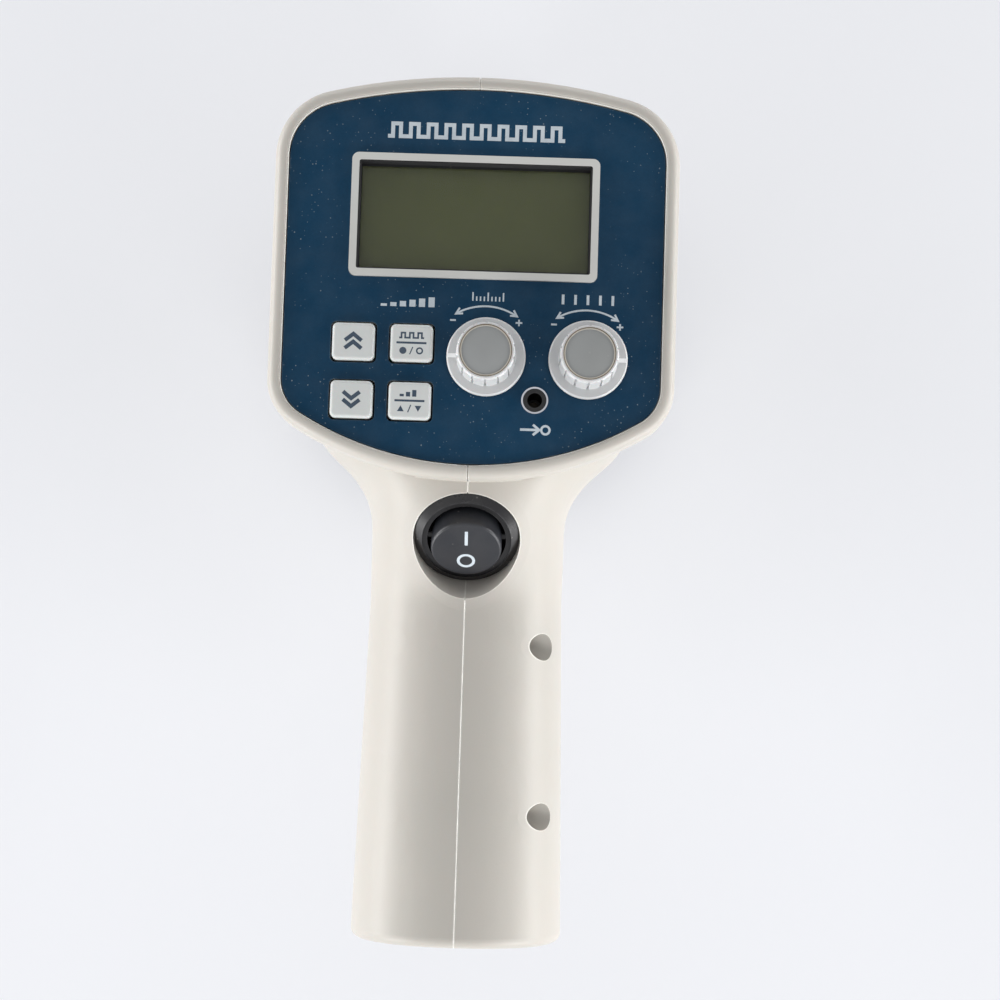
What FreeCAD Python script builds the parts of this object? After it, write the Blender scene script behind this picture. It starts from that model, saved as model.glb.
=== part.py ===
import FreeCAD, Part
import math
import os
from FreeCAD import Placement, Rotation, Vector

os.makedirs("parts", exist_ok=True)

# A hand-held stroboscope, lying on its lens. All sizes are in millimetres.
# Origin: centre of the front rim's resting face. +Z runs along the lens axis to the control panel,
# +Y to the top of the head, and the handle runs to -Y. +X is to the right of someone reading the panel.

# Head
head_depth = 107.0
front_radius = 48.0
head_front = 14.0
rim_depth = 10.0
rim_width = 3.6
rim_step = 1.5
rim_outer_round = 2.4
rim_inner_round = 0.8
wall = 2.5
section_points = 40
half_reach = 60.0
head_sections = 5
parting_width = 0.24
parting_depth = 0.35

# Outline of the control panel, the shape that the rear of the head follows
panel_half_width = 45.5
panel_top = 46.1
panel_bottom = 45.0
panel_top_radius = 146.0
panel_bottom_radius = 79.0
panel_top_corner = 13.0
panel_bottom_corner = 9.5

# Control panel plate, its film and how it sits in the rim
panel_recess = 1.0
film_thick = 0.4
plate_thick = 2.6
panel_gap = 0.25
tongue_width = 1.2
tongue_thick = 1.1
groove_gap = 0.2
ledge_width = 2.2

# Display
display_x = -0.35
display_y = 14.9
display_width = 60.0
display_height = 30.1
display_band = 1.75
display_corner = 1.7
opening_corner = 0.5
display_raise = 1.0
display_fit = 0.05
window_margin = 1.4
window_thick = 1.0
window_inset = 0.6
window_fit = 0.1
gasket_thick = 0.35
gasket_drop = 0.25
glass_margin = 3.0
glass_thick = 2.4
glass_gap = 0.2
holder_wall = 1.8
holder_fit = 0.15
zebra_width = 2.0

# Control board behind the panel
board_drop = 9.8
board_thick = 1.6
board_inset = 2.6
hole_play = 0.1
post_x = 39.6
post_top_y = 31.0
post_low_y = -13.5
post_radius = 2.2
post_screw_radius = 1.0
post_screw_length = 6.0
screw_cap_radius = 1.9
screw_cap_thick = 1.2
thread_fit = 0.02

# Keys
key_width = 10.2
key_height = 9.0
key_corner = 1.3
key_pitch = 14.0
key_left_x = -28.5
key_top_y = -16.3
key_proud = 1.5
key_gap = 0.45
key_travel = 1.0
key_round = 0.8
key_names = [["double", "trigger"], ["halve", "range"]]
pill_radius = 2.0
pill_thick = 0.5
pill_clearance = 0.1
mat_thick = 1.2
mat_margin = 2.2
mat_edge = 0.6
mat_corner = 1.5
keypad_ledge = 0.3
collar_wall = 0.8
collar_gap = 0.3
collar_height = 5.2
stem_radius = 3.0
stem_length = 0.9
stem_gap = 0.4

# Knobs and their potentiometers
knob_x = {"fine": 3.5, "coarse": 28.0}
knob_y = -19.1
knob_gap = 0.6
knob_flange_radius = 9.5
knob_flange_thick = 1.5
knob_radius = 7.2
knob_height = 12.0
knob_taper = 0.25
knob_edge = 0.35
knob_neck_radius = 6.55
knob_neck_height = 1.2
grip_count = 14
grip_gap = 0.55
grip_depth = 0.5
knob_cap_radius = 6.0
knob_cap_thick = 1.2
knob_cap_dome = 0.5
cap_gap = 0.1
shaft_radius = 3.0
shaft_flat = 1.5
shaft_fit = 0.05
shaft_length_in_knob = 8.0
bushing_radius = 3.5
bushing_fit = 0.03
bushing_clear = 0.5
bushing_height = 7.6
pot_radius = 8.2
pot_depth = 8.5
pot_lug_width = 11.5
pot_lug_reach = 4.0
pot_lug_thick = 1.5
nut_across = 10.0
nut_thick = 2.0

# Socket for an outside signal
jack_x = 15.5
jack_y = -29.2
jack_bore = 1.8
jack_bore_depth = 14.0
jack_barrel = 2.8
jack_ring_radius = 3.25
jack_ring_proud = 0.9
jack_body_radius = 4.0
jack_floor = 2.4
jack_contact_radius = 1.2

# Handle
handle_end = -162.0
handle_start = -33.0
handle_half_width = 24.4
handle_spread = 0.025
handle_straight_y = -78.0
handle_front = 44.0
crown_height = 88.3
crown_tilt = 1.7
section_power = 2.15
end_round = 2.5
neck_y = -57.5
neck_top = -38.0
neck_power = 1.75
neck_flare = 14.0
neck_front_flare = 11.0
crown_rise = 11.3
crown_rise_start = -80.0
crown_rise_end = -48.0
handle_sections = 21
handle_points = 16

# Power switch, on its own slanted axis
switch_y = -62.55
switch_z = 91.9
switch_slant = 37.9
switch_radius = 12.9
switch_flange = 2.0
switch_edge = 0.7
switch_crest = 11.0
switch_step = 0.5
switch_well = 9.7
switch_barrel = 11.2
switch_depth = 15.0
switch_floor = 2.0
switch_fit = 0.2
pocket_gap = 0.3
rocker_gap = 1.05
rocker_rise = 2.85
rocker_round = 0.6
rocker_tilt = 9.0
rocker_pivot = 2.6
rocker_below = 2.6
axle_radius = 1.0
axle_fit = 0.05
axle_length = 2.0
plunger_radius = 1.1
plunger_length = 5.2
stem_drop = 1.2
stem_wall = 0.9
socket_depth = 1.5
contact_length = 13.0
contact_width = 4.0
contact_thick = 0.6
contact_ratio = 0.6
contact_gap = 0.12
contact_pivot = 10.2
terminal_width = 4.8
terminal_thick = 0.8
terminal_length = 8.0
terminal_pitch = 5.6
terminal_head = 1.2
terminal_fit = 0.05

# Front: lens, seal and flash lamp
bezel_radius = 49.5
bezel_round = 2.6
bezel_gap = 0.4
lip_radius = 41.5
lip_thick = 2.2
lens_radius = 44.5
lens_thick = 2.5
seal_thick = 1.0
seal_width = 2.5
spigot_radius = 45.5
spigot_wall = 2.2
spigot_gap = 0.2
reflector_focus = 12.5
reflector_radius = 40.3
reflector_flange = 44.3
reflector_thick = 0.8
reflector_hole = 10.5
tube_radius = 2.6
tube_spread = 6.0
tube_reach = 16.0
electrode_radius = 2.9
electrode_length = 5.0
band_width = 2.0
band_thick = 0.25
base_radius = 12.0
base_height = 7.0
base_nose = 9.8
lamp_plate_radius = 43.0
lamp_plate_thick = 2.5
lamp_plate_gap = 0.2
rib_thick = 2.2
rib_height = 3.5

# Power board and what stands on it
power_board_rise = 10.0
power_board_radius = 38.0
power_board_thick = 1.6
board_notch = 0.5
power_post_radius = 3.0
power_post_place = 24.5
power_post_top_y = 24.0
power_post_low_y = -24.0
transformer_width = 36.0
transformer_height = 30.0
transformer_stack = 16.0
transformer_y = 7.0
transformer_leg = 6.0
winding_gap = 0.4
frame_thick = 0.8
frame_inset = 2.0
frame_foot = 6.0
winding_round = 3.0
capacitor_radius = 8.0
capacitor_height = 25.0
capacitor_y = -22.0
capacitor_x = 11.0
capacitor_round = 0.8
trigger_radius = 6.0
trigger_height = 14.0
trigger_place = (-27.0, -10.0)
trigger_flange = 1.0
fuse_radius = 2.6
fuse_length = 20.0
fuse_x = 29.0
clip_wall = 0.5
clip_width = 5.0
clip_foot = 3.0
clip_mouth = 3.2
clip_lift = 1.0

# Mains inlet in the handle's end
inlet_width = 20.0
inlet_height = 12.0
inlet_depth = 18.0
inlet_flange = 2.5
inlet_flange_thick = 2.0
inlet_fit = 0.2
inlet_recess_pitch = 7.6
inlet_recess_radius = 4.4
inlet_recess_depth = 11.0
inlet_pin_radius = 1.2
inlet_pin_pitch = 8.0
inlet_pin_length = 9.0
inlet_shank_radius = 1.0
inlet_tail = 6.0
inlet_rib_thick = 2.0

# Screws that close the housing: y, and z measured from the resting face
screw_places = [(39.5, 52.0), (38.5, 89.0), (-41.0, 50.0), (-88.0, 80.3), (-130.0, 81.5), (-146.0, 55.0)]
screw_boss = 4.8
screw_head_radius = 2.75
screw_head_thick = 2.0
screw_radius = 1.5
screw_length = 14.0
screw_seat = 5.0
screw_recess = 3.35
screw_hole_gap = 0.15
screw_pilot_gap = 0.02

# Heights that follow from the sizes above
film_top = head_depth - panel_recess
plate_top = film_top - film_thick
plate_low = plate_top - plate_thick
board_top = film_top - board_drop
board_low = board_top - board_thick
mat_top = board_top + mat_thick
knob_low = film_top + knob_gap
seal_z = lip_thick + lens_thick
flange_z = seal_z + seal_thick
spigot_z = flange_z + reflector_thick
reflector_apex = flange_z + reflector_radius ** 2 / (4 * reflector_focus)
lamp_plate_z = reflector_apex + 1.0
power_board_z = lamp_plate_z + lamp_plate_thick + power_board_rise
power_board_top = power_board_z + power_board_thick
inlet_z = (handle_front + crown_height) / 2
key_stem_low = board_top + pill_clearance + key_travel + pill_thick
key_low = key_stem_low + stem_length

shapes = {}


def keep(name, shape):
    shapes[name] = shape


# Basic shapes

def box(x0, x1, y0, y1, z0, z1):
    return Part.makeBox(x1 - x0, y1 - y0, z1 - z0, Vector(x0, y0, z0))


def rod(x, y, z0, z1, radius):
    return Part.makeCylinder(radius, z1 - z0, Vector(x, y, z0))


def rod_x(x0, x1, y, z, radius):
    return Part.makeCylinder(radius, x1 - x0, Vector(x0, y, z), Vector(1, 0, 0))


def rod_y(x, y0, y1, z, radius):
    return Part.makeCylinder(radius, y1 - y0, Vector(x, y0, z), Vector(0, 1, 0))


def tube(x, y, z0, z1, outer, inner):
    return rod(x, y, z0, z1, outer).cut(rod(x, y, z0 - 1, z1 + 1, inner))


def block(x, y, width, height, z0, z1, corner=0.0):
    solid = box(x - width / 2, x + width / 2, y - height / 2, y + height / 2, z0, z1)
    if corner <= 0:
        return solid
    return solid.makeFillet(corner, upright_edges(solid))


def upright_edges(solid):
    found = []
    for edge in solid.Edges:
        ends = [vertex.Point for vertex in edge.Vertexes]
        if len(ends) == 2 and math.hypot(ends[0].x - ends[1].x, ends[0].y - ends[1].y) < 1e-6:
            found.append(edge)
    return found


def edges_at(solid, z, inside=None):
    found = []
    for edge in solid.Edges:
        level = all(abs(vertex.Point.z - z) < 1e-4 for vertex in edge.Vertexes)
        if level and abs(edge.CenterOfMass.z - z) < 1e-4 and (inside is None or inside(edge)):
            found.append(edge)
    return found


def revolve(points):
    # A closed outline of (radius, z) corners turned about the lens axis
    corners = [Vector(r, 0, z) for r, z in points]
    face = Part.Face(Part.makePolygon(corners + corners[:1]))
    return face.revolve(Vector(0, 0, 0), Vector(0, 0, 1), 360)


def fuse(solids):
    return solids[0].multiFuse(solids[1:]).removeSplitter() if len(solids) > 1 else solids[0]


def group(solids):
    return Part.makeCompound(solids)


# The rear outline, at any distance outside the control panel's edge

def arc(centre, radius, start, end, z):
    def point(angle):
        return Vector(centre[0] + radius * math.cos(angle), centre[1] + radius * math.sin(angle), z)
    return Part.Arc(point(start), point((start + end) / 2), point(end)).toShape()


def outline(grow, z):
    # Runs counterclockwise from the middle of the bottom edge
    half = panel_half_width + grow
    top_radius = panel_top_radius + grow
    low_radius = panel_bottom_radius + grow
    top_corner = panel_top_corner + grow
    low_corner = panel_bottom_corner + grow
    top_middle = panel_top - panel_top_radius
    low_middle = panel_bottom_radius - panel_bottom
    top_x = half - top_corner
    top_y = top_middle + math.sqrt((top_radius - top_corner) ** 2 - top_x ** 2)
    low_x = half - low_corner
    low_y = low_middle - math.sqrt((low_radius - low_corner) ** 2 - low_x ** 2)
    top_turn = math.atan2(top_y - top_middle, top_x)
    low_turn = math.atan2(low_y - low_middle, low_x)
    pi = math.pi
    return Part.Wire([
        arc((0, low_middle), low_radius, -pi / 2, low_turn, z),
        arc((low_x, low_y), low_corner, low_turn, 0, z),
        Part.makeLine(Vector(half, low_y, z), Vector(half, top_y, z)),
        arc((top_x, top_y), top_corner, 0, top_turn, z),
        arc((0, top_middle), top_radius, top_turn, pi - top_turn, z),
        arc((-top_x, top_y), top_corner, pi - top_turn, pi, z),
        Part.makeLine(Vector(-half, top_y, z), Vector(-half, low_y, z)),
        arc((-low_x, low_y), low_corner, pi, pi - low_turn, z),
        arc((0, low_middle), low_radius, pi - low_turn, 1.5 * pi, z),
    ])


def outline_solid(grow, z0, z1):
    return Part.Face(outline(grow, z0)).extrude(Vector(0, 0, z1 - z0))


def closed_curve(points):
    curve = Part.BSplineCurve()
    curve.interpolate(Points=points, PeriodicFlag=True)
    return Part.Wire([curve.toShape()])


# Head: round at the lens, the panel's outline at the rear

def head_section(z, share, inset):
    rear = outline(rim_width - rim_step - inset, z).discretize(Number=section_points + 1)[:-1]
    blended = []
    for i, point in enumerate(rear):
        angle = 2 * math.pi * i / section_points - math.pi / 2
        radius = front_radius - inset
        front = Vector(radius * math.cos(angle), radius * math.sin(angle), z)
        blended.append(front * (1 - share) + point * share)
    start = section_points // 4
    return closed_curve(blended[start:] + blended[:start])


def head_body(inset, z0, z1):
    sections = []
    for i in range(head_sections):
        part = i / (head_sections - 1)
        share = part * part * (3 - 2 * part)
        sections.append(head_section(z0 + (z1 - z0) * part, share, inset))
    return Part.makeLoft(sections, True, False)


def rim(inset):
    # A bead that stands proud of the head, with a round crest on both sides of the panel's pocket
    top = head_depth - inset
    pocket = panel_gap + inset
    solid = outline_solid(rim_width - inset, head_depth - rim_depth + inset, top)
    solid = solid.makeFillet(rim_outer_round - inset, edges_at(solid, top))
    solid = solid.cut(outline_solid(pocket, plate_low, head_depth + 1))
    mouth = outline(pocket, top)
    crest = edges_at(solid, top, lambda edge: edge.distToShape(mouth)[0] < 1e-3)
    return solid.makeFillet(rim_inner_round - inset, crest)


# Handle: near-round sections that flare into the head

def smooth_share(value, start, end):
    part = min(1.0, max(0.0, (value - start) / (end - start)))
    return part * part * (3 - 2 * part)


def neck_share(y):
    return min(1.0, max(0.0, (y - neck_y) / (neck_top - neck_y))) ** neck_power


def half_width(y):
    return handle_half_width + handle_spread * max(0.0, handle_straight_y - y) + neck_flare * neck_share(y)


def crown(y):
    tilt = math.tan(math.radians(crown_tilt)) * max(0.0, crown_rise_start - y)
    return crown_height + tilt + crown_rise * smooth_share(y, crown_rise_start, crown_rise_end)


def front_line(y):
    return handle_front - neck_front_flare * neck_share(y)


def handle_section(y, inset):
    half = half_width(y) - inset
    middle = (crown(y) + front_line(y)) / 2
    depth = (crown(y) - front_line(y)) / 2 - inset
    points = []
    for i in range(handle_points):
        angle = 2 * math.pi * i / handle_points
        side = math.cos(angle)
        rise = math.sin(angle)
        x = half * math.copysign(abs(side) ** (2 / section_power), side)
        z = middle + depth * math.copysign(abs(rise) ** (2 / section_power), rise)
        points.append(Vector(x, y, z))
    return closed_curve(points)


def handle_body(inset, end):
    step = (end - handle_start) / (handle_sections - 1)
    sections = [handle_section(handle_start + step * i, inset) for i in range(handle_sections)]
    return Part.makeLoft(sections, True, False)


def handle_outside():
    solid = handle_body(0, handle_end)
    ends = [edge for edge in solid.Edges if abs(edge.BoundBox.YMin - handle_end) < 1e-3
            and abs(edge.BoundBox.YMax - handle_end) < 1e-3]
    return solid.makeFillet(end_round, ends)


# The switch is modelled about its own axis and then set on the slant

switch_place = Placement(Vector(0, switch_y, switch_z), Rotation(Vector(1, 0, 0), switch_slant))


def on_slant(shape):
    placed = shape.copy()
    placed.Placement = switch_place.multiply(placed.Placement)
    return placed


# Housing: the right half is made, and the left is its mirror image before each gets its screw holes

def screw_bosses():
    return [rod_x(0, half_reach, y, z, screw_boss) for y, z in screw_places]


def inlet_bulkhead():
    y0 = handle_end + wall + inlet_flange_thick + inlet_fit
    slab = box(0, half_reach, y0, y0 + inlet_rib_thick, 0, head_depth)
    return slab.cut(inlet_hole(y0 - 1, y0 + inlet_rib_thick + 1))


def inlet_hole(y0, y1):
    width = inlet_width / 2 + inlet_fit
    height = inlet_height / 2 + inlet_fit
    return box(-width, width, y0, y1, inlet_z - height, inlet_z + height)


def lamp_ribs():
    low = lamp_plate_z - lamp_plate_gap
    high = lamp_plate_z + lamp_plate_thick + lamp_plate_gap
    inner = lamp_plate_radius - rib_height / 2
    return [tube(0, 0, low - rib_thick, low, front_radius, inner),
            tube(0, 0, high, high + rib_thick, front_radius, inner)]


def spigot():
    # The ring that the front rim slides over, rooted in the wall behind it
    inner = spigot_radius - spigot_wall
    ring = tube(0, 0, spigot_z, head_front + wall, spigot_radius - spigot_gap, inner)
    root = tube(0, 0, head_front, head_front + wall, front_radius - wall / 2, inner)
    return ring.fuse(root)


def switch_liner():
    low = -switch_flange - wall
    return on_slant(rod(0, 0, low, 20, switch_radius + pocket_gap + wall))


def switch_pocket():
    pocket = rod(0, 0, -switch_flange, 30, switch_radius + pocket_gap)
    hole = rod(0, 0, -switch_flange - 2 * wall, 0, switch_barrel + switch_fit)
    return on_slant(pocket.fuse(hole))


def panel_seat():
    # The plate's pocket and the groove for its tongue
    pocket = outline_solid(panel_gap, plate_low, head_depth + 1)
    groove = outline_solid(tongue_width + groove_gap, plate_low, plate_low + tongue_thick + groove_gap)
    return pocket.fuse(groove)


def keypad_room():
    # The ledge under the panel gives way to the keys, which stand close to the edge
    places = key_places().values()
    reach = key_height / 2 + collar_gap + collar_wall + 1
    corner = block(min(x for x, y in places), min(y for x, y in places), 2 * reach + 2, 2 * reach + 2,
                   board_low - 1, plate_low + 0.01)
    return corner.common(outline_solid(-keypad_ledge, board_low - 1, plate_low + 0.01))


def parting_groove():
    # A hair line round the outside, where the two halves meet
    skin = parting_depth
    slab = box(0, parting_width / 2, handle_end - 1, half_reach, -1, head_depth + 1)
    cores = [head_body(skin, head_front, head_depth - rim_depth + 1), handle_body(skin, handle_end + skin)]
    return slab.cut(cores + [rim(skin), spigot()])


def half_shell():
    right = box(0, half_reach, handle_end - 1, half_reach, -1, head_depth + 1)
    head = head_body(0, head_front, head_depth - rim_depth + 1).common(right)
    outside = head.multiFuse([handle_outside().common(right), rim(0).common(right)])
    inside = head_body(wall, head_front - 1, plate_low - 1).common(right)
    rear = outline_solid(-ledge_width, head_depth - rim_depth, head_depth + 1).common(right)
    shell = outside.cut([inside, rear, handle_body(wall, handle_end + wall).common(right)])
    added = screw_bosses() + [inlet_bulkhead()] + [ring.common(right) for ring in lamp_ribs()]
    added.append(switch_liner().common(right))
    added = [solid.common(outside) for solid in added]
    shell = shell.multiFuse(added + [spigot().common(right)])
    inlet = inlet_hole(handle_end - 1, handle_end + wall + 1)
    return shell.cut([panel_seat(), switch_pocket(), inlet, parting_groove()])


def housing():
    right = half_shell()
    left = right.mirror(Vector(0, 0, 0), Vector(1, 0, 0)).cut(keypad_room())
    depth = screw_length - screw_seat + 1
    for y, z in screw_places:
        right = right.cut([rod_x(screw_seat, half_reach, y, z, screw_recess),
                           rod_x(-1, half_reach, y, z, screw_radius + screw_hole_gap)])
        left = left.cut(rod_x(-depth, 1, y, z, screw_radius + screw_pilot_gap))
    keep("housing_right", right)
    keep("housing_left", left)


def housing_screws():
    screws = []
    for y, z in screw_places:
        head = rod_x(screw_seat, screw_seat + screw_head_thick, y, z, screw_head_radius)
        shank = rod_x(screw_seat - screw_length, screw_seat, y, z, screw_radius)
        screws.append(head.fuse(shank))
    keep("housing_screws", group(screws))


# Front end

def front_bezel():
    back = head_front - bezel_gap
    inner = spigot_radius + spigot_gap
    solid = revolve([(lip_radius, 0), (bezel_radius, 0), (bezel_radius, back), (inner, back),
                     (inner, lip_thick), (lip_radius, lip_thick)])
    front = [edge for edge in edges_at(solid, 0) if edge.Curve.Radius > lip_radius + 1]
    keep("front_bezel", solid.makeFillet(bezel_round, front))


def lens():
    keep("front_lens", rod(0, 0, lip_thick, seal_z, lens_radius))
    keep("lens_seal", tube(0, 0, seal_z, flange_z, lens_radius, lens_radius - seal_width))


def reflector():
    # A parabola about its focus, open at the rim and pierced for the lamp
    steps = 9
    inner = []
    for i in range(steps):
        r = reflector_hole + (reflector_radius - reflector_hole) * i / (steps - 1)
        inner.append(Vector(r, 0, reflector_apex - r * r / (4 * reflector_focus)))
    outer = [point + Vector(0, 0, reflector_thick) for point in inner]
    inner_curve = Part.BSplineCurve()
    inner_curve.interpolate(inner)
    outer_curve = Part.BSplineCurve()
    outer_curve.interpolate(outer)
    face = Part.Face(Part.Wire([
        inner_curve.toShape(), Part.makeLine(inner[-1], outer[-1]),
        outer_curve.toShape(), Part.makeLine(outer[0], inner[0]),
    ]))
    bowl = face.revolve(Vector(0, 0, 0), Vector(0, 0, 1), 360)
    flange = tube(0, 0, flange_z, spigot_z, reflector_flange, reflector_radius)
    keep("reflector", bowl.fuse(flange))


def lamp():
    # A bent glass tube, its metal ends, the trigger band and the ceramic base
    legs = lamp_plate_z - electrode_length
    bend = reflector_apex - tube_reach
    path = Part.Wire([
        Part.makeLine(Vector(-tube_spread, 0, legs), Vector(-tube_spread, 0, bend)),
        Part.Arc(Vector(-tube_spread, 0, bend), Vector(0, 0, bend - tube_spread),
                 Vector(tube_spread, 0, bend)).toShape(),
        Part.makeLine(Vector(tube_spread, 0, bend), Vector(tube_spread, 0, legs)),
    ])
    section = Part.Wire([Part.makeCircle(tube_radius, Vector(-tube_spread, 0, legs), Vector(0, 0, 1))])
    keep("flash_tube", path.makePipeShell([section], True, False))
    ends = [rod(side * tube_spread, 0, legs, lamp_plate_z, electrode_radius) for side in (-1, 1)]
    keep("tube_electrodes", group(ends))
    band_z = (legs + bend) / 2
    bands = [tube(side * tube_spread, 0, band_z, band_z + band_width, tube_radius + band_thick, tube_radius)
             for side in (-1, 1)]
    link = box(-tube_spread + tube_radius, tube_spread - tube_radius, -band_thick, band_thick,
               band_z, band_z + band_width)
    keep("trigger_band", fuse(bands + [link]))
    base = rod(0, 0, lamp_plate_z, lamp_plate_z + base_height, base_nose)
    base = base.fuse(rod(0, 0, lamp_plate_z + lamp_plate_thick, lamp_plate_z + base_height, base_radius))
    keep("lamp_base", base.removeSplitter())


def post_places():
    return [(side * power_post_place, y) for side in (-1, 1) for y in (power_post_top_y, power_post_low_y)]


def lamp_plate():
    plate = rod(0, 0, lamp_plate_z, lamp_plate_z + lamp_plate_thick, lamp_plate_radius)
    plate = plate.cut(rod(0, 0, lamp_plate_z - 1, power_board_z, base_nose + lamp_plate_gap))
    posts = [rod(x, y, lamp_plate_z, power_board_z, power_post_radius) for x, y in post_places()]
    plate = fuse([plate] + posts)
    holes = [rod(x, y, power_board_z - post_screw_length, power_board_z + 1, post_screw_radius)
             for x, y in post_places()]
    keep("lamp_plate", plate.cut(holes))


# Power board

def power_board():
    board = rod(0, 0, power_board_z, power_board_top, power_board_radius)
    holes = [rod(x, y, power_board_z - 1, power_board_top + 1, post_screw_radius + hole_play)
             for x, y in post_places()]
    notches = [rod_x(-half_reach, half_reach, y, z, screw_boss + board_notch) for y, z in screw_places]
    keep("power_board", board.cut(holes + notches))
    keep("power_board_screws", group([small_screw(x, y, power_board_top, 1) for x, y in post_places()]))


def small_screw(x, y, seat, side):
    # Head on the seat, shank through the board behind it
    cap = seat + side * screw_cap_thick
    tip = seat - side * post_screw_length
    head = rod(x, y, min(seat, cap), max(seat, cap), screw_cap_radius)
    shank = rod(x, y, min(seat, tip), max(seat, tip), post_screw_radius - thread_fit)
    return head.fuse(shank)


def transformer():
    z0 = power_board_top
    width = transformer_width
    y0 = transformer_y - transformer_stack / 2
    y1 = transformer_y + transformer_stack / 2
    leg = transformer_leg
    window_low = z0 + leg
    window_high = z0 + transformer_height - leg
    core = box(-width / 2, width / 2, y0, y1, z0, z0 + transformer_height)
    for side in (-1, 1):
        near = side * leg
        far = side * (width / 2 - leg)
        core = core.cut(box(min(near, far), max(near, far), y0 - 1, y1 + 1, window_low, window_high))
    keep("transformer_core", core)
    gap = winding_gap
    outer = box(-width / 2 + leg + gap, width / 2 - leg - gap, y0 - leg, y1 + leg,
                window_low + gap, window_high - gap)
    outer = outer.makeFillet(winding_round, upright_edges(outer))
    inner = box(-leg - gap, leg + gap, y0 - gap, y1 + gap, window_low - 1, window_high + 1)
    keep("transformer_winding", outer.cut(inner))
    lift = z0 + transformer_height
    low_y = y0 + frame_inset
    high_y = y1 - frame_inset
    strap = box(-width / 2 - frame_thick, width / 2 + frame_thick, low_y, high_y, z0, lift + frame_thick)
    strap = strap.cut(box(-width / 2, width / 2, y0, y1, z0 - 1, lift))
    feet = [box(min(x, x + reach), max(x, x + reach), low_y, high_y, z0, z0 + frame_thick)
            for x, reach in ((-width / 2, -frame_foot), (width / 2, frame_foot))]
    keep("transformer_frame", fuse([strap] + feet))


def power_parts():
    z0 = power_board_top
    caps = []
    for side in (-1, 1):
        can = rod(side * capacitor_x, capacitor_y, z0, z0 + capacitor_height, capacitor_radius)
        caps.append(can.makeFillet(capacitor_round, edges_at(can, z0 + capacitor_height)))
    keep("flash_capacitors", group(caps))
    x, y = trigger_place
    top = z0 + trigger_height
    coil = fuse([rod(x, y, z0, z0 + trigger_flange, trigger_radius + trigger_flange),
                 rod(x, y, z0, top, trigger_radius),
                 rod(x, y, top - trigger_flange, top, trigger_radius + trigger_flange)])
    keep("trigger_coil", coil)
    y0 = -fuse_length / 2
    height = z0 + fuse_radius + clip_lift
    keep("fuse", rod_y(fuse_x, y0, y0 + fuse_length, height, fuse_radius))
    clips = []
    for start in (y0, y0 + fuse_length - clip_width):
        grip = rod_y(fuse_x, start, start + clip_width, height, fuse_radius + clip_wall)
        grip = grip.fuse(box(fuse_x - clip_foot / 2, fuse_x + clip_foot / 2, start, start + clip_width,
                             z0, height))
        opening = rod_y(fuse_x, start - 1, start + clip_width + 1, height, fuse_radius)
        mouth = box(fuse_x - clip_mouth / 2, fuse_x + clip_mouth / 2, start - 1, start + clip_width + 1,
                    height, height + fuse_radius + 1)
        clips.append(grip.cut([opening, mouth]))
    keep("fuse_clips", group(clips))


# Control panel

def key_places():
    places = {}
    for row, names in enumerate(key_names):
        for column, name in enumerate(names):
            places[name] = (key_left_x + column * key_pitch, key_top_y - row * key_pitch)
    return places


def board_posts():
    return [(side * post_x, y) for side in (-1, 1) for y in (post_top_y, post_low_y)]


def panel_openings(z0, z1, shaft_hole):
    openings = [block(x, y, key_width + 2 * key_gap, key_height + 2 * key_gap, z0, z1, key_corner)
                for x, y in key_places().values()]
    openings += [rod(x, knob_y, z0, z1, shaft_hole) for x in knob_x.values()]
    openings.append(rod(jack_x, jack_y, z0, z1, jack_barrel + hole_play))
    return openings


def control_panel():
    plate = outline_solid(0, plate_low, plate_top)
    tongue = outline_solid(tongue_width, plate_low, plate_low + tongue_thick)
    frame = block(display_x, display_y, display_width, display_height, plate_top, film_top + display_raise,
                  display_corner)
    posts = [rod(x, y, board_top, plate_low, post_radius) for x, y in board_posts()]
    plate = fuse([plate, tongue, frame] + posts)
    cuts = panel_openings(plate_low - 1, plate_top + 1, bushing_radius + bushing_clear)
    cuts.append(in_display(0, plate_low - 1, film_top + display_raise + 1, opening_corner))
    cuts.append(in_display(window_margin, plate_low - 1, plate_low + window_inset))
    cuts += [rod(x, y, board_top - 1, board_top + post_screw_length - board_thick + 0.5, post_screw_radius)
             for x, y in board_posts()]
    keep("control_panel", plate.cut(cuts))


def panel_overlay():
    film = outline_solid(0, plate_top, film_top)
    cuts = panel_openings(plate_top - 1, film_top + 1, bushing_radius + bushing_clear)
    cuts.append(in_display(display_band + display_fit, plate_top - 1, film_top + 1, display_corner))
    keep("panel_overlay", film.cut(cuts))


def in_display(grow, z0, z1, corner=0.0):
    # A block as large as the frame's opening, and larger by grow on each side
    width = display_width - 2 * display_band + 2 * grow
    height = display_height - 2 * display_band + 2 * grow
    return block(display_x, display_y, width, height, z0, z1, corner)


def display():
    window_top = plate_low + window_inset
    window_low = window_top - window_thick
    keep("display_window", in_display(window_margin - window_fit, window_low, window_top))
    gasket = in_display(0, window_top, film_top + display_raise - gasket_drop, opening_corner)
    keep("display_gasket", gasket.cut(in_display(-gasket_thick, window_low, head_depth + 1)))
    glass_top = window_low - glass_gap
    glass_low = glass_top - glass_thick
    keep("lcd_glass", in_display(glass_margin, glass_low, glass_top))
    holder = in_display(glass_margin + holder_wall, board_top, glass_top, 1.0)
    holder = holder.cut(in_display(glass_margin + holder_fit, glass_low, glass_top + 1))
    room = in_display(glass_margin - holder_wall, board_top - 1, glass_top + 1)
    keep("lcd_holder", holder.cut(room))
    edge = in_display(glass_margin - holder_wall - holder_fit, board_top, glass_low)
    middle = edge.BoundBox.YLength / 2 - zebra_width
    between = box(-half_reach, half_reach, display_y - middle, display_y + middle,
                  board_top - 1, glass_low + 1)
    strips = edge.cut(between)
    keep("zebra_strips", group(strips.Solids))


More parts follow.
